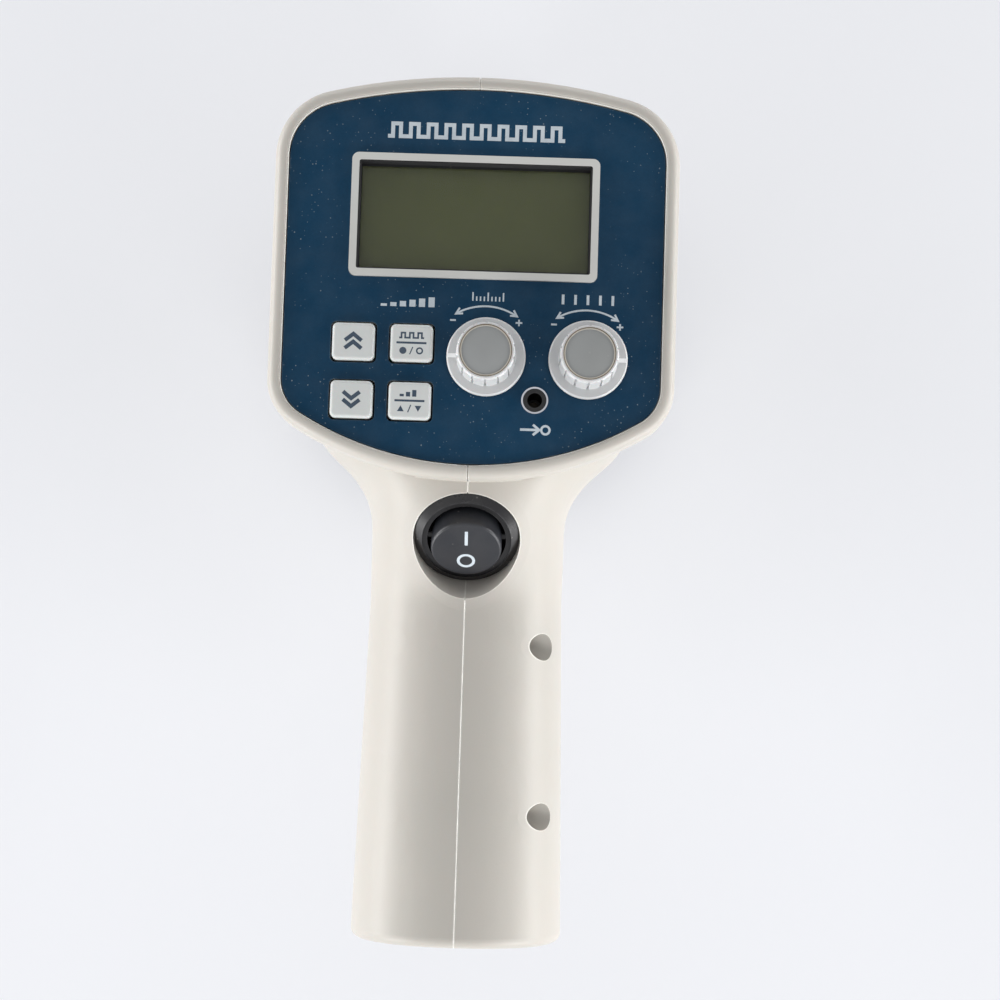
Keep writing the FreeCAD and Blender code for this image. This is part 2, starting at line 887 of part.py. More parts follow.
def control_board():
    board = outline_solid(-board_inset, board_low, board_top)
    low = board_low - 1
    high = board_top + 1
    cuts = [rod(x, y, low, high, post_screw_radius + hole_play) for x, y in board_posts()]
    cuts += [rod(x, knob_y, low, high, bushing_radius + bushing_fit) for x in knob_x.values()]
    cuts.append(rod(jack_x, jack_y, low, high, jack_body_radius + hole_play))
    keep("control_board", board.cut(cuts))
    keep("board_screws", group([small_screw(x, y, board_low, -1) for x, y in board_posts()]))


def keypad():
    places = key_places()
    xs = [x for x, y in places.values()]
    ys = [y for x, y in places.values()]
    width = max(xs) - min(xs) + key_width + 2 * mat_margin
    height = max(ys) - min(ys) + key_height + 2 * mat_margin
    mat = [block((max(xs) + min(xs)) / 2, (max(ys) + min(ys)) / 2, width, height, board_top, mat_top,
                 mat_corner)]
    cuts = []
    for x, y in places.values():
        inner = 2 * collar_gap
        outer = 2 * (collar_gap + collar_wall)
        mat.append(block(x, y, key_width + outer, key_height + outer, board_top, board_top + collar_height,
                         mat_corner))
        cuts.append(block(x, y, key_width + inner, key_height + inner, mat_top, plate_top, key_corner))
        cuts.append(rod(x, y, board_top - 1, plate_top, stem_radius + stem_gap))
    keep("keypad_mat", fuse(mat).common(outline_solid(-mat_edge, board_low, plate_top)).cut(cuts))


def keys():
    top = film_top + key_proud
    for name, (x, y) in key_places().items():
        cap = block(x, y, key_width, key_height, key_low, top, key_corner)
        cap = cap.makeFillet(key_round, edges_at(cap, top))
        stem = rod(x, y, key_stem_low, key_low, stem_radius)
        keep("key_" + name, cap.fuse(stem).removeSplitter())
        keep("pill_" + name, rod(x, y, key_stem_low - pill_thick, key_stem_low, pill_radius))


# Knobs

def shaft_section(x, radius, flat, z0, z1):
    solid = rod(x, knob_y, z0, z1, radius)
    side = radius + 1
    return solid.cut(box(x - side, x + side, knob_y + flat, knob_y + side, z0 - 1, z1 + 1))


def knob(name, x):
    # A skirt, a ring of flat grips with narrow grooves between them, and a neck that holds the cap
    top = knob_low + knob_height
    body_low = knob_low + knob_flange_thick
    cap_low = top - knob_cap_thick
    grip_top = top - knob_neck_height
    grip_radius = knob_radius - knob_taper
    solid = revolve([(0, knob_low), (knob_flange_radius, knob_low),
                     (knob_flange_radius, body_low - knob_edge), (knob_flange_radius - knob_edge, body_low),
                     (knob_radius, body_low),
                     (grip_radius, grip_top - knob_edge), (grip_radius - knob_edge, grip_top),
                     (knob_neck_radius, grip_top), (knob_neck_radius, top), (0, top)])
    groove = box(knob_radius - grip_depth, knob_radius + 1, -grip_gap / 2, grip_gap / 2, body_low, top)
    grooves = []
    for i in range(grip_count):
        turned = groove.copy()
        turned.rotate(Vector(0, 0, 0), Vector(0, 0, 1), 360 * (i + 0.5) / grip_count)
        grooves.append(turned)
    solid = solid.cut(grooves)
    solid.translate(Vector(x, knob_y, 0))
    room = rod(x, knob_y, cap_low - cap_gap, top + 1, knob_cap_radius + cap_gap)
    bore = shaft_section(x, shaft_radius + shaft_fit, shaft_flat + shaft_fit, knob_low - 1,
                         knob_low + shaft_length_in_knob + shaft_fit)
    keep("knob_" + name, solid.cut([room, bore]))
    dome_radius = (knob_cap_radius ** 2 + knob_cap_dome ** 2) / (2 * knob_cap_dome)
    dome = Part.makeSphere(dome_radius, Vector(x, knob_y, top + knob_cap_dome / 2 - dome_radius))
    cap = rod(x, knob_y, cap_low, top + knob_cap_dome, knob_cap_radius)
    keep("knob_cap_" + name, cap.common(dome))


def potentiometer(name, x):
    body_top = board_low
    body_low = body_top - pot_depth
    lug_low = body_low + pot_lug_thick
    lug = box(x - pot_lug_width / 2, x + pot_lug_width / 2, knob_y - pot_radius - pot_lug_reach, knob_y,
              lug_low, lug_low + pot_lug_thick)
    can = rod(x, knob_y, body_low, body_top, pot_radius).fuse(lug)
    bushing = rod(x, knob_y, body_top, board_top + bushing_height, bushing_radius)
    hollow = rod(x, knob_y, body_low + 1, board_top + bushing_height + 1, shaft_radius + shaft_fit)
    keep("pot_" + name, can.fuse(bushing).removeSplitter().cut(hollow))
    tip = knob_low + shaft_length_in_knob
    plain = rod(x, knob_y, body_low + 1 + shaft_fit, knob_low - 0.2, shaft_radius)
    keep("pot_shaft_" + name, plain.fuse(shaft_section(x, shaft_radius, shaft_flat, knob_low - 0.2, tip)))


def hexagon(x, y, across, z0, z1):
    corners = []
    for i in range(6):
        angle = math.pi / 3 * i + math.pi / 6
        corners.append(Vector(x + across / math.sqrt(3) * math.cos(angle),
                              y + across / math.sqrt(3) * math.sin(angle), z0))
    return Part.Face(Part.makePolygon(corners + corners[:1])).extrude(Vector(0, 0, z1 - z0))


def pot_nuts():
    nuts = [hexagon(x, knob_y, nut_across, board_top, board_top + nut_thick).cut(
        rod(x, knob_y, board_top - 1, board_top + nut_thick + 1, bushing_radius + bushing_fit))
        for x in knob_x.values()]
    keep("pot_nuts", group(nuts))


# Socket

def jack():
    top = film_top + jack_ring_proud
    low = top - jack_bore_depth - jack_floor
    body = rod(jack_x, jack_y, low, plate_low, jack_body_radius)
    barrel = rod(jack_x, jack_y, plate_low, top - 0.2, jack_barrel)
    bore = rod(jack_x, jack_y, top - jack_bore_depth, top + 1, jack_bore)
    well = rod(jack_x, jack_y, top - jack_bore_depth - 1.2, top, jack_contact_radius + 0.05)
    keep("ext_jack_body", body.fuse(barrel).cut([bore, well]))
    keep("ext_jack_ring", tube(jack_x, jack_y, film_top, top, jack_ring_radius, jack_barrel + 0.05))
    keep("ext_jack_contact", rod(jack_x, jack_y, top - jack_bore_depth - 1.2, top - jack_bore_depth - 0.2,
                                 jack_contact_radius))


# Power switch

def switch_housing():
    flange = revolve([(0, -switch_flange), (switch_radius, -switch_flange),
                      (switch_radius, switch_edge - switch_flange), (switch_crest, 0),
                      (switch_crest, -switch_step), (0, -switch_step)])
    barrel = rod(0, 0, -switch_depth, -switch_flange, switch_barrel)
    well = rod(0, 0, -switch_depth + switch_floor, 1, switch_well)
    solid = flange.fuse(barrel).cut(well)
    tip = switch_well - axle_length
    solid = solid.multiFuse([rod_x(-switch_well, -tip, 0, -rocker_pivot, axle_radius),
                             rod_x(tip, switch_well, 0, -rocker_pivot, axle_radius)])
    wide = terminal_width / 2 + terminal_fit
    thick = terminal_thick / 2 + terminal_fit
    slots = [box(-wide, wide, y - thick, y + thick, -switch_depth - 1, -switch_depth + switch_floor + 1)
             for y in terminal_places()]
    keep("switch_housing", on_slant(solid.cut(slots)))


def terminal_places():
    return [-terminal_pitch, 0, terminal_pitch]


def rocker():
    radius = switch_well - rocker_gap
    low = -rocker_pivot - rocker_below
    disc = rod(0, 0, low, rocker_rise, radius)
    disc = disc.makeFillet(rocker_round, edges_at(disc, rocker_rise))
    tip = switch_well - axle_length - axle_fit
    holes = [rod_x(-radius - 1, -tip, 0, -rocker_pivot, axle_radius + axle_fit),
             rod_x(tip, radius + 1, 0, -rocker_pivot, axle_radius + axle_fit)]
    stem = rod(0, 0, low - stem_drop, low, plunger_radius + stem_wall)
    socket = rod(0, 0, low - stem_drop - 1, low + socket_depth, plunger_radius + axle_fit)
    return disc.fuse(stem).cut(holes + [socket])


def tilted(shape, degrees, depth):
    turned = shape.copy()
    turned.rotate(Vector(0, 0, -depth), Vector(1, 0, 0), degrees)
    return turned


def plunger_low():
    return -contact_pivot + contact_thick / 2 + contact_gap


def plunger():
    low = plunger_low()
    tip = Part.makeSphere(plunger_radius, Vector(0, 0, low + plunger_radius))
    body = rod(0, 0, low + plunger_radius, low + plunger_length, plunger_radius)
    return tip.fuse(body).removeSplitter()


def contact():
    half = contact_length / 2
    plate = box(-contact_width / 2, contact_width / 2, -half, half,
                -contact_pivot - contact_thick / 2, -contact_pivot + contact_thick / 2)
    return plate


def switch_inside():
    keep("switch_rocker", on_slant(tilted(rocker(), rocker_tilt, rocker_pivot)))
    keep("switch_plunger", on_slant(tilted(plunger(), rocker_tilt, rocker_pivot)))
    keep("switch_contact", on_slant(tilted(contact(), -rocker_tilt * contact_ratio, contact_pivot)))
    floor = -switch_depth + switch_floor
    terminals = []
    reach = math.sin(math.radians(rocker_tilt * contact_ratio)) * terminal_pitch
    for y in terminal_places():
        tail = box(-terminal_width / 2, terminal_width / 2, y - terminal_thick / 2, y + terminal_thick / 2,
                   -switch_depth - terminal_length, floor)
        drop = contact_thick / 2 + contact_gap
        if y:
            drop += reach + contact_gap
        head = rod(0, y, floor, -contact_pivot - drop, terminal_head if y else terminal_head / 2)
        terminals.append(on_slant(tail.fuse(head)))
    keep("switch_terminals", group(terminals))


# Mains inlet

def inlet_recess(grow, y0, y1):
    half = inlet_recess_pitch / 2
    radius = inlet_recess_radius + grow
    ends = [rod_y(side * half, y0, y1, inlet_z, radius) for side in (-1, 1)]
    waist = box(-half, half, y0, y1, inlet_z - radius * 0.85, inlet_z + radius * 0.85)
    return fuse(ends + [waist])


def mains_inlet():
    face = handle_end
    inside = handle_end + wall
    body = box(-inlet_width / 2, inlet_width / 2, face, face + inlet_depth,
               inlet_z - inlet_height / 2, inlet_z + inlet_height / 2)
    flange = box(-inlet_width / 2 - inlet_flange, inlet_width / 2 + inlet_flange, inside,
                 inside + inlet_flange_thick, inlet_z - inlet_height / 2 - inlet_flange,
                 inlet_z + inlet_height / 2 + inlet_flange)
    cuts = [inlet_recess(0, face - 1, face + inlet_recess_depth)]
    places = [-inlet_pin_pitch / 2, inlet_pin_pitch / 2]
    cuts += [rod_y(x, face, face + inlet_depth + 1, inlet_z, inlet_shank_radius) for x in places]
    keep("mains_inlet", body.fuse(flange).removeSplitter().cut(cuts))
    seat = face + inlet_recess_depth
    pins = [rod_y(x, seat - inlet_pin_length, seat, inlet_z, inlet_pin_radius).fuse(
        rod_y(x, seat, face + inlet_depth + inlet_tail, inlet_z, inlet_shank_radius)) for x in places]
    keep("inlet_pins", group(pins))


housing()
housing_screws()
front_bezel()
lens()
reflector()
lamp()
lamp_plate()
power_board()
transformer()
power_parts()
control_panel()
panel_overlay()
display()
control_board()
keypad()
keys()
for name, x in knob_x.items():
    knob(name, x)
    potentiometer(name, x)
pot_nuts()
jack()
switch_housing()
switch_inside()
mains_inlet()

for name, shape in shapes.items():
    bad = [solid for solid in shape.Solids if not solid.isValid()]
    print(name, len(shape.Solids), round(shape.Volume, 1), "not valid" if bad else "")
    shape.exportStep("parts/" + name + ".step")
print(len(shapes), "sub-parts")
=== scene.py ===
import math

import bmesh
import bpy
from mathutils import Matrix, Vector
from mathutils.bvhtree import BVHTree
from mathutils.geometry import delaunay_2d_cdt


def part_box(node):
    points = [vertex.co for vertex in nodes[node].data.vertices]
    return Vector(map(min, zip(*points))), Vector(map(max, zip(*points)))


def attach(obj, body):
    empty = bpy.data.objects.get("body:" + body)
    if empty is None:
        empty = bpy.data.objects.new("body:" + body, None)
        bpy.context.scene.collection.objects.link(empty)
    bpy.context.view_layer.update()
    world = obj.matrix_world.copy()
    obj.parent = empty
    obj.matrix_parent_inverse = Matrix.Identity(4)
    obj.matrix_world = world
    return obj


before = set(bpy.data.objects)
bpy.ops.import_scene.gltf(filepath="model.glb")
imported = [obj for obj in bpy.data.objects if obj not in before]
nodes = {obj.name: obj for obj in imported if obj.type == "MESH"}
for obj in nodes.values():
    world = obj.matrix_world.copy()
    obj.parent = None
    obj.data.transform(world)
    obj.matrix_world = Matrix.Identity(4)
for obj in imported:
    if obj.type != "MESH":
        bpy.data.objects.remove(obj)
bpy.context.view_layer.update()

scene = bpy.context.scene
scene.view_settings.view_transform = "Standard"
mm = 0.001
screenCurve = {"knee": 0.04, "slope": 12.92, "lift": 0.055, "power": 2.4}


def ink(r, g, b):  # a colour as a screen shows it, turned into the shader's own scale
    c = screenCurve
    parts = [level / 255 for level in (r, g, b)]
    return tuple(p / c["slope"] if p <= c["knee"] else ((p + c["lift"]) / (1 + c["lift"])) ** c["power"]
                 for p in parts) + (1.0,)


# Effects that several finishes share. Each is a node group, built once.

def startGroup(name, inputs, outputs):
    group = bpy.data.node_groups.new(name, "ShaderNodeTree")
    for label, kind, value in inputs:
        socket = group.interface.new_socket(name=label, in_out="INPUT", socket_type="NodeSocket" + kind)
        socket.default_value = value
    for label, kind in outputs:
        group.interface.new_socket(name=label, in_out="OUTPUT", socket_type="NodeSocket" + kind)
    return group, group.nodes.new("NodeGroupInput"), group.nodes.new("NodeGroupOutput")


def add(tree, kind, **settings):
    node = tree.nodes.new("ShaderNode" + kind)
    for key, value in settings.items():
        setattr(node, key, value)
    return node


def feed(tree, socket, value):  # a plain value is set on the socket, anything else is linked to it
    if isinstance(value, (int, float, tuple)):
        socket.default_value = value
    else:
        tree.links.new(value, socket)


def sums(tree, operation, first, second, third=None, clamp=False):
    node = add(tree, "Math", operation=operation, use_clamp=clamp)
    for socket, value in zip(node.inputs, (first, second, third)):
        if value is not None:
            feed(tree, socket, value)
    return node.outputs[0]


def blend(tree, share, first, second):
    node = add(tree, "Mix", data_type="RGBA", blend_type="MIX")
    feed(tree, node.inputs[0], share)
    feed(tree, node.inputs[6], first)
    feed(tree, node.inputs[7], second)
    return node.outputs[2]


def noise(tree, scale, detail=2.0, rough=0.5, stretch=None):
    place = add(tree, "TexCoord").outputs["Object"]
    if stretch:
        turn = add(tree, "Mapping")
        turn.inputs["Scale"].default_value = stretch
        tree.links.new(place, turn.inputs["Vector"])
        place = turn.outputs[0]
    node = add(tree, "TexNoise")
    node.inputs["Detail"].default_value = detail
    node.inputs["Roughness"].default_value = rough
    tree.links.new(place, node.inputs["Vector"])
    feed(tree, node.inputs["Scale"], scale)
    return node.outputs[0]


def stretchShare(tree, value, limits):  # runs from nothing at the first limit to all at the second
    node = add(tree, "MapRange", clamp=True)
    tree.links.new(value, node.inputs["Value"])
    node.inputs["From Min"].default_value, node.inputs["From Max"].default_value = limits
    return node.outputs[0]


driftShape = {"wide": (0.35, 0.68), "fleckScale": 2600.0, "fleck": (0.3, 0.7)}


def makeToneDrift():  # slow changes of tone over a moulding
    g, take, give = startGroup(
        "toneDrift",
        [("Colour", "Color", (0.8, 0.8, 0.8, 1)), ("Second Colour", "Color", (0.7, 0.7, 0.7, 1)),
         ("Patches", "Float", 40.0), ("Flecks", "Float", 0.1)],
        [("Colour", "Color")])
    wide = stretchShare(g, noise(g, take.outputs["Patches"], 3), driftShape["wide"])
    fine = stretchShare(g, noise(g, driftShape["fleckScale"], 1), driftShape["fleck"])
    centred = sums(g, "SUBTRACT", fine, 0.5)
    share = sums(g, "MULTIPLY_ADD", centred, take.outputs["Flecks"], wide, clamp=True)
    mixed = blend(g, share, take.outputs["Colour"], take.outputs["Second Colour"])
    g.links.new(mixed, give.inputs["Colour"])
    return g


edgeShape = {"radius": 0.0006, "sharp": (0.02, 0.25), "patchScale": 420.0, "patch": (0.35, 0.65)}


def makeEdgeWearAndHighlight():  # edges paler or darker than the faces: rubbed wear, and on the housing, film, rocker and caps a painted highlight along the edge
    g, take, give = startGroup(
        "edgeWearAndHighlight",
        [("Colour", "Color", (0.8, 0.8, 0.8, 1)), ("Edge Colour", "Color", (0.9, 0.9, 0.9, 1)),
         ("Amount", "Float", 0.5), ("Patchy", "Float", 1.0)],
        [("Colour", "Color"), ("Mask", "Float")])
    rounded = add(g, "Bevel", samples=6)
    rounded.inputs["Radius"].default_value = edgeShape["radius"]
    dot = add(g, "VectorMath", operation="DOT_PRODUCT")
    g.links.new(rounded.outputs[0], dot.inputs[0])
    g.links.new(add(g, "NewGeometry").outputs["Normal"], dot.inputs[1])
    sharp = stretchShare(g, sums(g, "SUBTRACT", 1.0, dot.outputs["Value"]), edgeShape["sharp"])
    gaps = stretchShare(g, noise(g, edgeShape["patchScale"], 3), edgeShape["patch"])
    patchy = sums(g, "SUBTRACT", 1.0, sums(g, "MULTIPLY", gaps, take.outputs["Patchy"]))
    mask = sums(g, "MULTIPLY", sums(g, "MULTIPLY", sharp, patchy), take.outputs["Amount"], clamp=True)
    mixed = blend(g, mask, take.outputs["Colour"], take.outputs["Edge Colour"])
    g.links.new(mixed, give.inputs["Colour"])
    g.links.new(mask, give.inputs["Mask"])
    return g


dustShape = {
    "smallest": 0.07, "spread": 0.16, "crowdScale": 70.0, "crowd": (0.42, 0.62),
    "filmScale": 160.0, "film": (0.3, 0.75),
}


def makeDust():  # small pale specks and a thin film on faces that look up
    g, take, give = startGroup(
        "settledDust",
        [("Colour", "Color", (0.8, 0.8, 0.8, 1)), ("Dust Colour", "Color", (0.7, 0.68, 0.64, 1)),
         ("Specks", "Float", 0.5), ("Haze", "Float", 0.05), ("Speck Scale", "Float", 900.0),
         ("Share", "Float", 0.14)],
        [("Colour", "Color"), ("Mask", "Float")])
    cells = add(g, "TexVoronoi", feature="F1")
    cells.inputs["Randomness"].default_value = 1.0
    g.links.new(add(g, "TexCoord").outputs["Object"], cells.inputs["Vector"])
    g.links.new(take.outputs["Speck Scale"], cells.inputs["Scale"])
    parts = add(g, "SeparateColor")
    g.links.new(cells.outputs["Color"], parts.inputs[0])
    chosen = sums(g, "LESS_THAN", parts.outputs[0], take.outputs["Share"])
    size = sums(g, "MULTIPLY_ADD", parts.outputs[1], dustShape["spread"], dustShape["smallest"])
    near = sums(g, "LESS_THAN", cells.outputs["Distance"], size)
    crowd = stretchShare(g, noise(g, dustShape["crowdScale"], 2), dustShape["crowd"])
    grouped = sums(g, "MULTIPLY", sums(g, "MULTIPLY", chosen, near), crowd)
    specks = sums(g, "MULTIPLY", grouped, take.outputs["Specks"])
    up = add(g, "SeparateXYZ")
    g.links.new(add(g, "NewGeometry").outputs["Normal"], up.inputs[0])
    cloud = stretchShare(g, noise(g, dustShape["filmScale"], 4), dustShape["film"])
    upward = stretchShare(g, up.outputs["Z"], (0.0, 1.0))
    film = sums(g, "MULTIPLY", sums(g, "MULTIPLY", cloud, take.outputs["Haze"]), upward)
    mask = sums(g, "MAXIMUM", specks, film, clamp=True)
    mixed = blend(g, mask, take.outputs["Colour"], take.outputs["Dust Colour"])
    g.links.new(mixed, give.inputs["Colour"])
    g.links.new(mask, give.inputs["Mask"])
    return g


shineShape = {"dusty": 0.4, "rubbed": -0.1}


def makeShine():  # roughness that wanders, with dust and rubbed edges in it
    g, take, give = startGroup(
        "uneasyShine",
        [("Roughness", "Float", 0.4), ("Spread", "Float", 0.1), ("Patches", "Float", 120.0),
         ("Dust", "Float", 0.0), ("Rub", "Float", 0.0)],
        [("Roughness", "Float")])
    wander = sums(g, "SUBTRACT", noise(g, take.outputs["Patches"], 4), 0.5)
    value = sums(g, "MULTIPLY_ADD", wander, take.outputs["Spread"], take.outputs["Roughness"])
    value = sums(g, "MULTIPLY_ADD", take.outputs["Dust"], shineShape["dusty"], value)
    value = sums(g, "MULTIPLY_ADD", take.outputs["Rub"], shineShape["rubbed"], value, clamp=True)
    g.links.new(value, give.inputs["Roughness"])
    return g


sinkScale = 55.0


def makeMouldGrain():  # the fine spark-eroded skin of a moulding, with a trace of sink
    g, take, give = startGroup(
        "mouldGrain",
        [("Grain Scale", "Float", 2400.0), ("Grain", "Float", 1.0), ("Ripple", "Float", 0.3)],
        [("Height", "Float")])
    fine = sums(g, "MULTIPLY", noise(g, take.outputs["Grain Scale"], 3, 0.6), take.outputs["Grain"])
    slow = sums(g, "MULTIPLY", noise(g, sinkScale, 1), take.outputs["Ripple"])
    g.links.new(sums(g, "ADD", fine, slow), give.inputs["Height"])
    return g


lineShape = {"stretch": (1.0, 1.0, 24.0), "mask": (0.35, 0.65)}


def makeDrawnLines():  # hair lines left by turning, drawing or wiping
    g, take, give = startGroup(
        "drawnLines",
        [("Scale", "Float", 300.0), ("Depth", "Float", 1.0)],
        [("Height", "Float"), ("Mask", "Float")])
    lines = noise(g, take.outputs["Scale"], 5, 0.7, lineShape["stretch"])
    g.links.new(sums(g, "MULTIPLY", lines, take.outputs["Depth"]), give.inputs["Height"])
    g.links.new(stretchShare(g, lines, lineShape["mask"]), give.inputs["Mask"])
    return g


toneDrift = makeToneDrift()
edgeWearAndHighlight = makeEdgeWearAndHighlight()
settledDust = makeDust()
uneasyShine = makeShine()
mouldGrain = makeMouldGrain()
drawnLines = makeDrawnLines()
print("shared effects ready:", len(bpy.data.node_groups))


def useGroup(tree, group, values):
    node = tree.nodes.new("ShaderNodeGroup")
    node.node_tree = group
    for label, value in values.items():
        feed(tree, node.inputs[label], value)
    return node


def newMaterial(name):
    made = bpy.data.materials.new(name)
    made.use_nodes = True
    return made, made.node_tree, made.node_tree.nodes["Principled BSDF"]


def addBump(tree, shader, relief, strength, distance):
    bump = add(tree, "Bump")
    bump.inputs["Strength"].default_value = strength
    bump.inputs["Distance"].default_value = distance
    tree.links.new(relief.outputs["Height"], bump.inputs["Height"])
    tree.links.new(bump.outputs["Normal"], shader.inputs["Normal"])


# What a solid finish has where its own look says nothing
plainLook = {
    "patches": 40.0, "flecks": 0.1, "edgeShare": 0.5, "patchy": 1.0, "dustColour": ink(190, 186, 178),
    "specks": 0.3, "haze": 0.04, "speckScale": 900.0, "speckShare": 0.14, "spread": 0.12,
    "drawn": 0.0, "grainScale": 2400.0, "grain": 1.0, "ripple": 0.3, "bump": 0.2, "relief": 0.0001,
    "metallic": 0.0, "ior": 1.46, "coat": 0.0, "coatRough": 0.1, "milky": 0.0, "milkDepth": 0.002,
}


def surface(name, ownLook):  # any solid finish: plastic, rubber, ink, ceramic, metal
    look = {**plainLook, "edge": ownLook["second"], **ownLook}
    made, tree, shader = newMaterial(name)
    tone = useGroup(tree, toneDrift, {
        "Colour": look["colour"], "Second Colour": look["second"],
        "Patches": look["patches"], "Flecks": look["flecks"]})
    edge = useGroup(tree, edgeWearAndHighlight, {
        "Colour": tone.outputs["Colour"], "Edge Colour": look["edge"],
        "Amount": look["edgeShare"], "Patchy": look["patchy"]})
    dust = useGroup(tree, settledDust, {
        "Colour": edge.outputs["Colour"], "Dust Colour": look["dustColour"], "Specks": look["specks"],
        "Haze": look["haze"], "Speck Scale": look["speckScale"], "Share": look["speckShare"]})
    tree.links.new(dust.outputs["Colour"], shader.inputs["Base Color"])
    shine = useGroup(tree, uneasyShine, {
        "Roughness": look["rough"], "Spread": look["spread"],
        "Dust": dust.outputs["Mask"], "Rub": edge.outputs["Mask"]})
    tree.links.new(shine.outputs["Roughness"], shader.inputs["Roughness"])
    if look["drawn"]:
        relief = useGroup(tree, drawnLines, {"Scale": look["drawn"]})
    else:
        relief = useGroup(tree, mouldGrain, {
            "Grain Scale": look["grainScale"], "Grain": look["grain"], "Ripple": look["ripple"]})
    addBump(tree, shader, relief, look["bump"], look["relief"])
    shader.inputs["Metallic"].default_value = look["metallic"]
    shader.inputs["IOR"].default_value = look["ior"]
    shader.inputs["Coat Weight"].default_value = look["coat"]
    shader.inputs["Coat Roughness"].default_value = look["coatRough"]
    shader.inputs["Subsurface Weight"].default_value = look["milky"]
    shader.inputs["Subsurface Scale"].default_value = look["milkDepth"]
    return made


# The same for anything that light passes through
clearLook = {
    "patches": 30.0, "flecks": 0.05, "specks": 0.2, "haze": 0.02, "spread": 0.04,
    "grainScale": 900.0, "grain": 0.2, "ripple": 1.0, "bump": 0.05, "relief": 0.0001, "ior": 1.49,
}


def clear(name, ownLook):
    look = {**clearLook, **ownLook}
    made, tree, shader = newMaterial(name)
    tone = useGroup(tree, toneDrift, {
        "Colour": look["colour"], "Second Colour": look["second"],
        "Patches": look["patches"], "Flecks": look["flecks"]})
    dust = useGroup(tree, settledDust, {
        "Colour": tone.outputs["Colour"], "Specks": look["specks"], "Haze": look["haze"]})
    tree.links.new(dust.outputs["Colour"], shader.inputs["Base Color"])
    shine = useGroup(tree, uneasyShine, {
        "Roughness": look["rough"], "Spread": look["spread"], "Dust": dust.outputs["Mask"]})
    tree.links.new(shine.outputs["Roughness"], shader.inputs["Roughness"])
    relief = useGroup(tree, mouldGrain, {
        "Grain Scale": look["grainScale"], "Grain": look["grain"], "Ripple": look["ripple"]})
    addBump(tree, shader, relief, look["bump"], look["relief"])
    shader.inputs["Transmission Weight"].default_value = 1.0
    shader.inputs["Metallic"].default_value = 0.0
    shader.inputs["IOR"].default_value = look["ior"]
    return made


def dress(material, *names):
    for name in names:
        for place in nodes[name].material_slots:
            place.material = material


def placePiece(name, mesh, material, body):
    mesh.materials.append(material)
    made = bpy.data.objects.new(name, mesh)
    scene.collection.objects.link(made)
    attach(made, body)


# Housing: two pale moulded halves
# The housing's pale edge colour is partly rubbed wear and partly a painted highlight: the bright hairline
# that light draws along its edges and seam.
housingLook = {
    "colour": ink(193, 188, 180), "second": ink(188, 184, 176), "patches": 26.0, "flecks": 0.25,
    "edge": ink(246, 243, 235), "edgeShare": 0.9, "patchy": 0.3, "rough": 0.4, "spread": 0.1,
    "grainScale": 2600.0, "grain": 1.0, "ripple": 0.6, "bump": 0.18, "relief": 0.00008,
    "specks": 0.12, "haze": 0.03, "milky": 0.04,
}
paleMoulding = surface("paleMoulding", housingLook)
dress(paleMoulding, "housing_left", "housing_right")

# Thin ridges of flash that the mould leaves: along the seam, front and back, and round the panel's edge.
# Sizes here and below are in millimetres.
flashRidge = {"half": 0.15, "sink": 0.03}
seamLine = {
    "from": -161.6, "to": -46.0, "step": 0.5, "beside": 0.24, "level": 0.8, "shortest": 1.5,
    "rise": 0.08,
}
panelEdge = {"outside": 0.42, "step": 2.0, "rise": 0.14, "deepest": 5.0}


def ridge(name, runs, up, rise, closed=False):  # a run is points on the surface, each with its way across
    mesh = bpy.data.meshes.new(name)
    bm = bmesh.new()
    half, sink = flashRidge["half"] * mm, flashRidge["sink"] * mm
    profile = ((-half, -sink), (0, rise * mm), (half, -sink))
    for run in runs:
        rings = [[bm.verts.new(p + side * across + up * high) for side, high in profile]
                 for p, across in run]
        for a, b in zip(rings, rings[1:] + (rings[:1] if closed else [])):
            for i in range(3):
                bm.faces.new((a[i], a[(i + 1) % 3], b[(i + 1) % 3], b[i]))
        if not closed:
            bm.faces.new(rings[0])
            bm.faces.new(rings[-1])
    bmesh.ops.recalc_face_normals(bm, faces=bm.faces)
    bm.to_mesh(mesh)
    bm.free()
    placePiece(name, mesh, paleMoulding, "housing")
    print(name, "laid in", len(runs), "runs")


def treeOf(*names):
    corners, faces = [], []
    for name in names:
        mesh = nodes[name].data
        faces += [[len(corners) + i for i in p.vertices] for p in mesh.polygons]
        corners += [v.co.copy() for v in mesh.vertices]
    return BVHTree.FromPolygons(corners, faces)


farOff = 0.3  # metres, where a probe towards the housing starts


def seamRuns(side):  # the seam's line in steps, broken where the switch's pocket crosses it
    tree = treeOf("housing_right")
    step = seamLine["step"]
    runs, run, y = [], [], seamLine["from"]
    while y <= seamLine["to"]:
        start = Vector((seamLine["beside"] * mm, y * mm, side * farOff))
        hit, normal, _, _ = tree.ray_cast(start, Vector((0, 0, -side)))
        onSkin = hit and normal.z * side > seamLine["level"]
        if onSkin and (not run or abs(hit.z - run[-1][0].z) < step * mm):
            run.append((Vector((0, hit.y, hit.z)), Vector((1, 0, 0))))
        elif run:
            runs.append(run)
            run = []
        y += step
    runs.append(run)
    return [r for r in runs if len(r) * step > seamLine["shortest"]]


finest = 1e-6  # metres, the grid on which corners count as one


def gridSpot(corner):
    return round(corner.co.x / finest), round(corner.co.y / finest)


